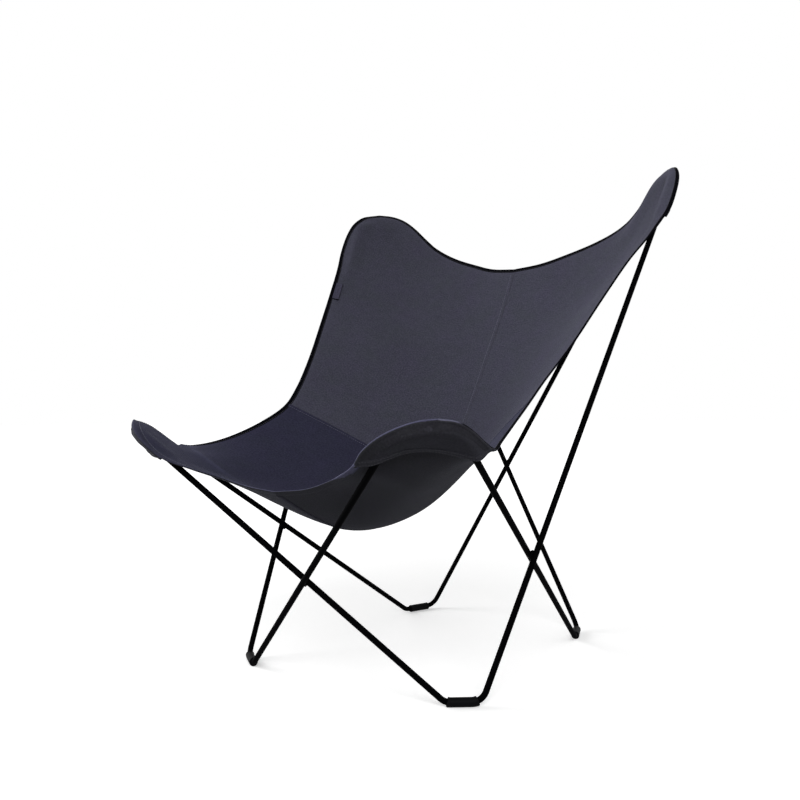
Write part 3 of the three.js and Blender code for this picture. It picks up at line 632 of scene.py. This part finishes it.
def glide(name, corners, i):
    before, a, b, after = (corners[(i + k) % len(corners)] for k in (-1, 0, 1, 2))
    half, reach = GLIDE_LENGTH / 2, GLIDE_LENGTH * 2
    points, tangents = bent_path([a + unit(before - a) * reach, a, b, b + unit(after - b) * reach])
    run = path_run(points)
    inset, radii = np.array(GLIDE_LIP).T
    barrel = np.linspace(BARREL_START - half, half - BARREL_START, BARREL_MARKS)
    marks = run[-1] / 2 + np.concatenate([inset - half, barrel, (half - inset)[::-1]])
    radii = np.concatenate([radii, np.full(BARREL_MARKS, GLIDE_BARREL), radii[::-1]])
    rings = tube(sampled(marks, run, points), unit(sampled(marks, run, tangents)), radii, GLIDE_SIDES)
    rings[..., 2] = np.maximum(rings[..., 2], 0)
    made = ring_shell(name, rings, GLIDE)
    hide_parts(name.replace("foot_sleeve", "glide"))


glide("foot_sleeve_front_right", LOOPS["a"], 1)
glide("foot_sleeve_rear_left", LOOPS["a"], 5)
glide("foot_sleeve_front_left", LOOPS["b"], 1)
glide("foot_sleeve_rear_right", LOOPS["b"], 5)


# Welds: a rippled bead between the rods at each crossing.
WELD_HIGH, WELD_WIDE, WELD_NARROW = 3.9, 8.2, 5.9
WELD_BANDS, WELD_SIDES, RIPPLES, RIPPLE_DEPTH = 18, 48, 9, 0.045


def nearest(line, other):
    """Where two lines come closest, and their ways."""
    d, e, w = unit(line[1] - line[0]), unit(other[1] - other[0]), other[0] - line[0]
    wd, we, de = w @ d, w @ e, d @ e
    rule = 1 - de * de
    return line[0] + d * (wd - we * de) / rule, other[0] + e * (wd * de - we) / rule, d, e


def weld(name, line, other):
    p, q, d, e = nearest(line, other)
    axis = unit(q - p)
    wide = unit(d + e * np.sign(d @ e))
    narrow = np.cross(axis, wide)
    polar = (np.arange(1, WELD_BANDS) / WELD_BANDS * np.pi)[:, None, None]
    turn = (np.arange(WELD_SIDES) / WELD_SIDES * 2 * np.pi)[None, :, None]
    out = np.sin(polar) * (1 + RIPPLE_DEPTH * np.sin(turn * RIPPLES + np.cos(turn * 2)) * np.sin(polar))
    rings = (p + q) / 2 + axis * np.cos(polar) * WELD_HIGH + wide * np.cos(turn) * out * WELD_WIDE
    made = ring_shell(name, rings + narrow * np.sin(turn) * out * WELD_NARROW, WELD)
    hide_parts(name.replace("bead", "weld"))


A, B = LOOPS["a"], LOOPS["b"]
weld("bead_front", (A[0], A[1]), (B[0], B[1]))
weld("bead_rear", (A[4], A[5]), (B[4], B[5]))
weld("bead_right", (A[3], A[2]), (B[7], B[6]))
weld("bead_left", (B[3], B[2]), (A[7], A[6]))


# Canvas panels.
def flat_marks(points):
    """Lengths along both ways of a grid of points, in metres: how the cut cloth's threads run."""
    marks = np.zeros(points.shape)
    marks[1:, :, 0] = np.cumsum(np.linalg.norm(np.diff(points, axis=0), axis=2), axis=0)
    marks[:, 1:, 1] = np.cumsum(np.linalg.norm(np.diff(points, axis=1), axis=2), axis=1)
    return marks / 1000


def cut_marks(points, normals):
    """A pocket's threads run straight: along its mouth and square to it."""
    along_mouth = unit(points[-1, -1] - points[0, -1])
    square = unit(np.cross(normals.mean((0, 1)), along_mouth))
    return np.stack([points @ along_mouth / 1000, points @ square / 1000, np.zeros(points.shape[:2])], -1)


COLUMNS = 1 - (1 - np.linspace(0, 1, 73)) ** 1.35
SEAT_ROWS = 1 - (1 - np.linspace(0, 1, 97)) ** 1.3
BACK_ROWS = 1 - (1 - np.linspace(0, 1, 81)) ** 1.25
CANVAS_GRIDS, POCKET_GRIDS = [], []
# Wear pales the canvas along its rim. On the left front lobe a painted highlight lies along the crease, partly
# the fold's rubbing, and painted light pales the lobe's face ahead of it. Where the outer rods press into the
# back lobes, a little pale is partly rub wear and partly a painted highlight on the ridges.
RIM_WEAR, RIM_FADE = 0.35, 14.0
CREASE_WEAR_AND_HIGHLIGHT, CREASE_WIDTH = 1.3, 0.005
AHEAD_PAINTED_LIGHT, AHEAD_START, AHEAD_FADE, AHEAD_SPAN = 0.5, 0.006, 0.05, (0.5, 0.7)
RUB_WEAR_AND_HIGHLIGHT, RUB_WIDTH, RUB_PRESS, RUB_SPAN = 0.45, 5.0, 8.0, (0.9, 0.96)


def panel(part, word, side):
    rows, target = (SEAT_ROWS, 0.0) if part == "seat" else (BACK_ROWS, 1.0)
    s = np.repeat(COLUMNS[:, None], len(rows), 1)
    v = lerp(seam_row(s), target, rows[None, :])
    point, normal = cloth(s, v, side)
    rim = edge_distance(point.reshape(-1, 3), side).reshape(s.shape)
    wear_and_painted_light = RIM_WEAR * np.exp(-(rim / RIM_FADE) ** 2)
    if side < 0:
        # Painted highlight along the crease, partly its rubbing, and painted light on the lobe's face ahead of
        # it.
        ahead = FOLD_ROW - v
        wear_and_painted_light += CREASE_WEAR_AND_HIGHLIGHT * np.exp(-(ahead / CREASE_WIDTH) ** 2) * smoothstep(s, *FOLD_SPAN)
        painted_light_ahead = AHEAD_PAINTED_LIGHT * smoothstep(ahead, 0, AHEAD_START) * np.exp(-ahead / AHEAD_FADE)
        wear_and_painted_light += painted_light_ahead * smoothstep(s, *AHEAD_SPAN)
    if part == "back":
        # Partly rub wear and partly a painted highlight on the ridges over the outer rods.
        pressed = stand_off(surface(s, v, side), normal, side, 1, RUB_WIDTH, CLOTH) / RUB_PRESS
        wear_and_painted_light += RUB_WEAR_AND_HIGHLIGHT * np.minimum(pressed, 1) * smoothstep(s, *RUB_SPAN)
    upper, lower = (sided(point + normal * h, side) for h in (CLOTH / 2, -CLOTH / 2))
    # The lower face gets the darker under canvas: painted shade.
    material = [SEAT_CANVAS if part == "seat" else BACK_CANVAS, SHADED_UNDER_CANVAS]
    made = grid_shell(f"{part}_panel_{word}", upper, lower, material, {"flat": flat_marks(point), "wear_and_painted_light": wear_and_painted_light})
    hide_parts(f"sling_{part}_{word}")
    CANVAS_GRIDS.append(sided(point, side))


HALVES = (("right", 1), ("left", -1))
for part in ("seat", "back"):
    for word, side in HALVES:
        panel(part, word, side)

# Pockets under the corners: a little slack, taut in the middle, with a hem at the mouth.
POCKET_SLACK, POCKET_EASING, TAUT_EDGE, TAUT_TIP = 1.2, 5, 0.3, 0.4
POCKET_SPOKES, POCKET_RINGS = np.linspace(0, 1, 57), np.linspace(0, 1, 49) ** 0.9
MOUTH_HEM, MOUTH_HEM_GAP, MOUTH_HEM_CLOTH = 0.9, 0.05, 0.9


def eased(field, times):
    """A grid of heights with its small ridges smoothed out along both ways."""
    for _ in range(2 * times):
        wide = np.pad(field, ((1, 1), (0, 0)), "edge")
        field = ((wide[:-2] + 2 * field + wide[2:]) / 4).T
    return field


def pocket(end, word, side):
    """A patch that fans out from the corner's tip to its mouth, the mouth's hem and the rows for stitches."""
    column, row = FRONT_MOUTH if end == "front" else BACK_MOUTH
    tip = 0 if end == "front" else 1
    spoke, ring = np.meshgrid(POCKET_SPOKES, POCKET_RINGS, indexing="ij")
    s = 1 - ring * (1 - column) * (1 - spoke)
    v = tip + ring * (row - tip) * spoke
    rolled = edge_roll(surface(s, v, side), side)
    point, normal = cloth(s, v, side)
    taut = smoothstep(spoke, 0, TAUT_EDGE) * (1 - smoothstep(spoke, 1 - TAUT_EDGE, 1))
    taut *= smoothstep(ring, 0, TAUT_TIP)
    drop = stand_off(point, normal, side, -1, lerp(POCKET_HUG, POCKET_SPREAD, taut), POCKET_CLOTH)
    drop = eased((drop + POCKET_SLACK) * rolled, POCKET_EASING)
    point = point - normal * (CLOTH / 2 + LAYER_GAP + POCKET_CLOTH / 2 + drop)[..., None]
    flat = cut_marks(point, normal)
    upper, lower = (sided(point + normal * h, side) for h in (POCKET_CLOTH / 2, -POCKET_CLOTH / 2))
    made = grid_shell(f"corner_pocket_{end}_{word}", upper, lower, POCKET_CANVAS, {"flat": flat})
    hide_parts(f"pocket_{end}_{word}")
    POCKET_GRIDS.append(lower)
    first = int(np.argmax(POCKET_RINGS > MOUTH_HEM))
    strip, facing = point[:, first:], normal[:, first:]
    near = POCKET_CLOTH / 2 + MOUTH_HEM_GAP
    far = near + MOUTH_HEM_CLOTH
    upper, lower = (sided(strip - facing * h, side) for h in (near, far))
    folded = grid_shell(f"pocket_hem_{end}_{word}", upper, lower, POCKET_CANVAS, {"flat": flat[:, first:]})
    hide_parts(f"mouth_hem_{end}_{word}")
    rows = [(point[:, k] - normal[:, k] * far, -normal[:, k]) for k in (first + 1, -2)]
    return made, folded, [[sided(x, side) for x in row] for row in rows]


POCKETS = {(end, word): pocket(end, word, side) for end in ("front", "back") for word, side in HALVES}


# The trim follows the canvas's middle face and the pockets' lower faces.
def tree_of(grids):
    verts, faces = [], []
    for grid in grids:
        rows, cols = grid.shape[:2]
        index = np.arange(rows * cols).reshape(rows, cols) + len(verts)
        verts += grid.reshape(-1, 3).tolist()
        faces += grid_quads(index).tolist()
    return BVHTree.FromPolygons(verts, faces)


CANVAS_TREE = tree_of(CANVAS_GRIDS)
POCKET_TREE = tree_of(POCKET_GRIDS)
RAY_START, RAY_REACH, STATION = 0.3, 26, 2.2


def snapped(points):
    """The nearest points of the canvas's middle face."""
    return np.array([CANVAS_TREE.find_nearest(p)[0] for p in points.reshape(-1, 3)]).reshape(points.shape)


def depths_below(points, normals):
    """From the canvas's middle down to the lowest layer sewn under it."""
    out = []
    for p, n in zip(points.reshape(-1, 3), np.broadcast_to(normals, points.shape).reshape(-1, 3)):
        hit = POCKET_TREE.ray_cast(Vector(p + n * RAY_START), Vector(-n), RAY_REACH)
        out.append(max(CLOTH / 2, hit[3] - RAY_START) if hit[0] is not None else CLOTH / 2)
    return np.array(out).reshape(points.shape[:-1])


def line_stations(point, normal, aside):
    """Even stations along a line on the cloth: place, way along, way aside in the cloth, and upward normal."""
    run = path_run(point)
    marks = np.linspace(0, run[-1], int(run[-1] / STATION))
    p, n, beside = (sampled(marks, run, x) for x in (point, normal, aside))
    t = unit(np.gradient(p, axis=0))
    n = unit(n - t * (n * t).sum(1, keepdims=True))
    a = np.cross(n, t)
    a = a * np.sign(((beside - p) * a).sum())
    return {"p": p, "a": a, "n": n, "run": marks}


def laid(line, offsets, free=0.5):
    """Points beside a line, laid on the canvas's middle face where they are more than free aside."""
    offsets = np.asarray(offsets, float)
    out = line["p"][:, None] + line["a"][:, None] * offsets[:, None]
    out[:, offsets > free] = snapped(out[:, offsets > free])
    return out


def followed(s, v, side, aside):
    """A line's points and normals, and points aside of it by steps of s and v."""
    return [sided(x, side) for x in (*cloth(s, v, side), surface(s + aside[0], v + aside[1], side))]


def side_line(side):
    v = np.linspace(0, 1, 321)
    return line_stations(*followed(np.ones_like(v), v, side, (-0.03, 0)))


def across_line(count, reach, row, aside):
    """Stations from the left edge to the right one along the rows row(s)."""
    left = np.linspace(reach, 0, count)
    halves = [followed(s, row(s), side, (0, aside)) for side, s in ((-1, left), (1, left[-2::-1]))]
    return line_stations(*(np.vstack(x) for x in zip(*halves)))


EDGES = {
    "right": side_line(1), "left": side_line(-1), "top": across_line(161, 1, np.ones_like, -0.03),
    "front": across_line(161, 1, np.zeros_like, 0.03),
}


def section_marks(rings, run):
    marks = flat_marks(rings)
    marks[..., 0] = run[:, None] / 1000
    return marks


# A folded strip's section: its sewn edge, its last row before the rim, and the turn round the rim.
SEWN_EDGE, RIM_ROW, TURN_DEPTH, MOST_BULGE = 0.6, 0.8, 2.1, 0.9
STRIP_CROWN = np.array([0.15, 0.9, 1.0, 1.0, 1.0])
TURN_ANGLES = np.radians([62, 35, 0, -35, -62])
TURNED_STEPS = np.array([0.5, 1.0, 1.6, 2.2, 3.5, 6.0, 9.0])


def folded_edge(name, line, width, cover, material, wear_and_painted_light, highlight_face_shown=None, fade=1.0, same_below=None):
    """A strip folded round the rim and sewn through: over the top face, round the edge, back along the lowest
    layer. material is the strip's, then the one that shows below, save at the stations same_below. The pale
    marks round the turn are given by place, times fade: wear and painted highlight. One argument gives how far
    the fold's face shows below; that face is painted pale there as a highlight."""
    offsets = np.array([width, width - SEWN_EDGE, width * 0.6, width * 0.3, RIM_ROW])
    places = laid(line, offsets)
    n = line["n"][:, None]
    below = depths_below(places, n)
    # Where the layers bulge between two rows of the strip, both rows go lower.
    among = laid(line, (offsets[:-1] + offsets[1:]) / 2)
    bulge = depths_below(among, n) - (below[:, :-1] + below[:, 1:]) / 2
    bulge -= ((among - (places[:, :-1] + places[:, 1:]) / 2) * n).sum(2)
    bulge = np.clip(bulge, 0, MOST_BULGE)
    below = below + np.maximum(np.pad(bulge, ((0, 0), (1, 0))), np.pad(bulge, ((0, 0), (0, 1))))
    crown = STRIP_CROWN * cover
    top = places + n * (CLOTH / 2 + crown)[None, :, None]
    bottom = (places - n * (below + crown)[..., None])[:, ::-1]
    high, low = CLOTH / 2 + cover, below[:, -1] + cover
    middle, half = (high - low) / 2, (high + low) / 2
    turn = np.stack([line["p"] + line["a"] * (RIM_ROW - TURN_DEPTH * math.cos(a))
                     + line["n"] * (middle + half * math.sin(a))[:, None] for a in TURN_ANGLES], 1)
    rings = np.concatenate([top, turn, bottom], 1)
    shade = np.zeros(rings.shape[:2])
    shade[:, 4:8] = wear_and_painted_light
    shade *= np.broadcast_to(fade, len(rings))[:, None]
    picks = np.repeat([[0] * 7 + [1] * 8], len(rings), 0)
    if same_below is not None:
        picks[same_below] = 0
    # Where the fold's face shows below, it is marked fully pale: a painted highlight.
    if highlight_face_shown is not None:
        shown = highlight_face_shown[:, None] > TURNED_STEPS
        shade[:, 7:14] = np.maximum(shade[:, 7:14], shown)
        picks[:, 7:14] = np.where(shown, 0, 1)
    marks = {"flat": section_marks(rings, line["run"]), "wear_and_painted_light": shade}
    return ring_shell(name, rings, material, attributes=marks, picks=picks[:-1].ravel())


def lapped_strip(name, line, half, under, height, material, worn):
    """A flat strip on one face of the canvas, its long edges turned in. under is the side that it lies on."""
    edge, rise = half - np.array([0.0, 0.25, 0.9, half * 0.6]), np.array([0.0, 0.6, 0.95, 1.0])
    offsets, rise = np.append(-edge, edge[::-1]), np.append(rise, rise[::-1])
    places = laid(line, offsets, -np.inf)
    n = line["n"][:, None] * (-1 if under else 1)
    outer = places + n * (CLOTH / 2 + height * rise)[None, :, None]
    inner = (places + n * (CLOTH / 2 - 0.4))[:, ::-1]
    rings = np.concatenate([outer, inner], 1)
    shade = np.zeros(rings.shape[:2])
    shade[:, [1, 2, 5, 6]] = worn
    marks = {"flat": section_marks(rings, line["run"]), "wear_and_painted_light": shade}
    return ring_shell(name, rings, material, attributes=marks)


def stitches(name, points, normals, material, pitch=4.4, length=3.0, radius=0.42):
    """A row of sewn stitches: short threads that dip into the cloth at both ends."""
    run = path_run(points)
    count = int((run[-1] - 4) // pitch)
    share = np.array([-0.5, -0.4, 0.0, 0.4, 0.5])
    dip = np.array([-0.35, -0.05, 0.12, -0.05, -0.35])
    size = np.array([0.3, 0.9, 1.0, 0.9, 0.3]) * radius
    marks = 2 + (np.arange(count)[:, None] + 0.5) * pitch + share * length
    p, n = sampled(marks, run, points), unit(sampled(marks, run, normals))
    b = np.cross(unit(np.gradient(p, axis=1)), n)
    angle = np.arange(6) / 6 * 2 * np.pi
    ring = n[:, :, None] * np.cos(angle)[:, None] + b[:, :, None] * np.sin(angle)[:, None]
    verts = (p + n * dip[:, None])[:, :, None] + ring * size[:, None, None]
    index = np.arange(count * 30).reshape(count, 5, 6)
    beside = np.roll(index, -1, 2)
    quads = np.stack([index[:, :-1], beside[:, :-1], beside[:, 1:], index[:, 1:]], -1)
    faces = quads.reshape(-1, 4).tolist() + index[:, 0, ::-1].tolist() + index[:, -1].tolist()
    add_mesh(name, verts.reshape(-1, 3), faces, material)


def row_beside(line, offset, height, free=0.5):
    return laid(line, [offset], free)[:, 0] + line["n"] * height, line["n"]


# The bindings' lower faces are black beside the back and along the top. The right one's turn has a painted
# highlight where it starts, next to the front hem.
BINDING_COVER, BINDING_SEWN, BINDING_HIGHLIGHT, HIGHLIGHT_END, BLACK_FROM = 0.6, 1.4, [0.9, 2, 2, 2], (22, 42), 0.45
for word, width in (("right", 5.0), ("left", 8.0), ("top", 8.0)):
    run = EDGES[word]["run"]
    highlighted = (word == "right") * (1 - smoothstep(run, *HIGHLIGHT_END))
    strip = folded_edge(f"folded_binding_{word}", EDGES[word], width, BINDING_COVER, [BINDING, SHADED_UNDER_CANVAS],
                        BINDING_HIGHLIGHT, fade=highlighted,
                        same_below=run > (0 if word == "top" else BLACK_FROM * run[-1]))
    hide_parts(f"binding_{word}")
    row = row_beside(EDGES[word], width - BINDING_SEWN, CLOTH / 2 + BINDING_COVER + 0.02)
    stitches(f"binding_stitches_{word}", *row, THREAD_DARK)

# The front hem's turn is pale: a painted highlight along the edge, partly wear, faint left of the middle. Under
# the right front lobe its face shows below, painted pale as a highlight.
HEM_WIDTH, HEM_COVER, HEM_SEWN, HEM_HIGHLIGHT_AND_WEAR = 12.0, 0.4, 9.6, [0.3, 1.0, 0.9, 0.3]
HIGHLIGHT_WEDGE, WEDGE_SPAN, WEDGE_END, LEAST_HIGHLIGHT, HIGHLIGHT_SPAN = 8.5, (0.3, 0.5), 0.512, 0.12, (-0.32, -0.12)
across = EDGES["front"]["p"][:, 0] / HALF_WIDTH
lit_wedge = HIGHLIGHT_WEDGE * smoothstep(across, *WEDGE_SPAN) * (across < WEDGE_END)
front_fold = folded_edge("turned_hem_front", EDGES["front"], HEM_WIDTH, HEM_COVER, [HEM_CANVAS, SHADED_UNDER_CANVAS],
                         HEM_HIGHLIGHT_AND_WEAR, lit_wedge, lerp(LEAST_HIGHLIGHT, 1, smoothstep(across, *HIGHLIGHT_SPAN)))
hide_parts("hem_front")
stitches("hem_stitches_front", *row_beside(EDGES["front"], HEM_SEWN, CLOTH / 2 + HEM_COVER + 0.03), THREAD_PALE)


def middle_line(start, end):
    v = np.linspace(start, end, 181)
    return line_stations(*followed(0 * v, v, 1, (0.02, 0)))


SEAM_GAP, SEAM_LAP, SEAM_HEIGHT, SEAM_SEWN = 0.004, 4.2, 0.75, 2.9
TAPE_HALF, TAPE_HEIGHT = 6.0, 0.9
SEAMS = {
    "waist": across_line(121, 0.985, seam_row, 0.02), "seat": middle_line(0.012, SEAM_CENTRE - SEAM_GAP),
    "back": middle_line(SEAM_CENTRE + SEAM_GAP, 0.99),
}
for part, line in SEAMS.items():
    material, slot = (BACK_CANVAS, "canvas_back") if part == "back" else (SEAT_CANVAS, "canvas_seat")
    lap = lapped_strip(f"lapped_seam_{part}", line, SEAM_LAP, False, SEAM_HEIGHT, material, 0.35)
    tape = lapped_strip(f"under_tape_{part}", line, TAPE_HALF, True, TAPE_HEIGHT, TAPE, 0.2)
    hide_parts(f"tape_{part}")
    # The two rows are a pale and a dark thread: partly the thread's colour, and partly a painted highlight on
    # the lap's lit edge and painted shade on its shaded edge.
    for k, (offset, thread) in enumerate(((-SEAM_SEWN, THREAD_PALE), (SEAM_SEWN, THREAD_DARK))):
        row = row_beside(line, offset, CLOTH / 2 + SEAM_HEIGHT - 0.03, -np.inf)
        stitches(f"seam_stitches_{part}_{k}", *row, thread)
for (end, word), (patch, hem, rows) in POCKETS.items():
    for k, (points, normals) in enumerate(rows):
        stitches(f"pocket_stitches_{end}_{word}_{k}", points, normals, THREAD_DARK)


# The bare tag: a folded woven flap that comes out beside the left binding and stands a little off the cloth.
TAG_LENGTH, TAG_INSET, TAG_REACH, TAG_PLACE, TAG_DROP, TAG_LIFT = 56.0, 6.0, 15.0, 0.714, 3.5, 3.2
TAG_HEM, TAG_CLOTH, TAG_FOLD, TAG_GAP, TAG_SHADE = 2.2, 0.45, 0.3, 0.75, 2.2


def tag():
    line = EDGES["left"]
    middle = np.argmin(np.linalg.norm(line["p"] - sided(surface(1.0, TAG_PLACE, -1), -1), axis=1))
    marks = np.linspace(-TAG_LENGTH / 2, TAG_LENGTH / 2, 41) + line["run"][middle] - TAG_DROP
    here = {k: sampled(marks, line["run"], line[k]) for k in ("p", "a", "n")}
    reach = np.linspace(0, 1, 13)
    base = laid(here, TAG_INSET + TAG_REACH * reach)
    lift = CLOTH / 2 + TAG_GAP + TAG_LIFT * reach ** 2
    # The cloth is turned in, and so thicker, at the two ends and the free side.
    ends = np.minimum(marks - marks[0], marks[-1] - marks) / TAG_HEM
    inside = np.minimum(1, np.minimum(ends[:, None], (1 - reach) * TAG_REACH / TAG_HEM))
    thick = TAG_CLOTH + TAG_FOLD * (1 - inside)
    n = here["n"][:, None]
    upper = base + n * (lift + thick)[..., None]
    lower = base + n * (lift - 1.0)[:, None]
    # The turned edges at the free side and at the lower end are darkened with painted shade, for the shadow
    # under the flap.
    low = 1 - smoothstep(marks - marks[0], 0.0, 2.9)[:, None]
    painted_shade = TAG_SHADE * np.maximum(smoothstep(reach, 0.88, 1.0), low)
    made = grid_shell("bare_tag", upper, lower, [TAG, TAG, TAG_EDGE_SHADE], {"flat": flat_marks(base), "wear_and_painted_light": painted_shade})
    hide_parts("tag")


tag()

# Floor, light and camera. The floor glows for the camera, more with distance, so that it ends in white and
# keeps the shadow beside the feet.
FLOOR_HALF, WHITE, PAPER, DULL = 30, (1, 1, 1, 1), (0.93, 0.93, 0.93, 1), (0.3, 0.3, 0.3, 1)
GLOW_FROM, GLOW_TO, GLOW_NEAR, GLOW_FAR = 0.6, 3.2, 0.34, 0.85
WORLD_LIGHT, LIGHT_AIM = 0.38, (0, 0, 0.5)
floor = bpy.data.meshes.new("floor")
corners = [(x * FLOOR_HALF, y * FLOOR_HALF, 0) for x, y in ((-1, -1), (1, -1), (1, 1), (-1, 1))]
floor.from_pydata(corners, [], [(0, 1, 2, 3)])
floor_material, floor_tree, floor_shader = new_material("floor_paper")


def seen_rays(tree):
    """Rays that see a white background: from the camera, and off or through what it looks at."""
    path = tree.nodes.new("ShaderNodeLightPath")
    seen = maths(tree, "ADD", path.outputs["Is Camera Ray"], path.outputs["Is Glossy Ray"])
    return maths(tree, "ADD", seen, path.outputs["Is Transmission Ray"], clamp=True)


def split_rays(tree, other, seen, output):
    """One shader for the rays that see a white background, another for the rest."""
    mix = tree.nodes.new("ShaderNodeMixShader")
    for source, socket in zip((seen_rays(tree), other, seen), mix.inputs):
        link(tree, source, socket)
    link(tree, mix.outputs[0], tree.nodes[output].inputs["Surface"])


set_sockets(floor_shader, {"Base Color": PAPER, "Roughness": 1, "Specular IOR Level": 0,
                           "Emission Color": WHITE})
distance = node(floor_tree, "ShaderNodeVectorMath", operation="LENGTH")
link(floor_tree, node(floor_tree, "ShaderNodeTexCoord").outputs["Object"], distance.inputs[0])
glow = ranged(floor_tree, distance.outputs["Value"], GLOW_FROM, GLOW_TO, GLOW_NEAR, GLOW_FAR)
link(floor_tree, glow, floor_shader.inputs["Emission Strength"])
dull = node(floor_tree, "ShaderNodeBsdfDiffuse", Color=DULL)
split_rays(floor_tree, dull.outputs[0], floor_shader.outputs[0], "Material Output")
floor.materials.append(floor_material)
add_object("floor", floor)

world = bpy.data.worlds.new("studio")
bpy.context.scene.world = world
world.use_nodes = True
tree = world.node_tree
soft = tree.nodes["Background"]
set_sockets(soft, {"Color": WHITE, "Strength": WORLD_LIGHT})
seen = node(tree, "ShaderNodeBackground", Color=WHITE, Strength=1.0)
split_rays(tree, soft.outputs[0], seen.outputs[0], "World Output")


def placed(data, x, y, z, at):
    """A light or camera with its axes and place."""
    obj = add_object(data.name, data)
    obj.matrix_world = Matrix([[x[k], y[k], z[k], at[k]] for k in range(3)] + [[0, 0, 0, 1]])
    return obj


def area_light(name, at, size, power):
    data = bpy.data.lights.new(name, "AREA")
    data.shape, data.size, data.energy = "DISK", size, power
    way = unit(np.subtract(LIGHT_AIM, at))
    side = unit(np.cross(way, (0, 0, 1)))
    placed(data, side, np.cross(side, way), -way, at)


area_light("side_light", (-2.6, -1.0, 1.3), 2.0, 62)
area_light("front_light", (1.9, -2.2, 2.0), 2.2, 70)

# The photograph's view: angles in degrees, the eye in millimetres, the lens and its axis in pixels.
AZIMUTH, ELEVATION, ROLL = (math.radians(x) for x in (35.0217, 0.7039, -0.5055))
EYE, FOCAL_PIXELS, AXIS_PIXEL, IMAGE, SENSOR = [900.9, -1307.5, 452.1], 859.95, (406.24, 421.41), 800, 36
back = np.array([math.sin(AZIMUTH) * math.cos(ELEVATION), -math.cos(AZIMUTH) * math.cos(ELEVATION),
                 math.sin(ELEVATION)])
right = np.array([math.cos(AZIMUTH), math.sin(AZIMUTH), 0])
up = np.cross(back, right)
right, up = right * math.cos(ROLL) + up * math.sin(ROLL), up * math.cos(ROLL) - right * math.sin(ROLL)
camera = bpy.data.cameras.new("camera")
camera.sensor_width = SENSOR
camera.lens = FOCAL_PIXELS / IMAGE * SENSOR
camera.shift_x = (IMAGE / 2 - AXIS_PIXEL[0]) / IMAGE
camera.shift_y = (AXIS_PIXEL[1] - IMAGE / 2) / IMAGE
bpy.context.scene.camera = placed(camera, right, up, back, metres(EYE))
bpy.context.scene.view_settings.view_transform = "Standard"
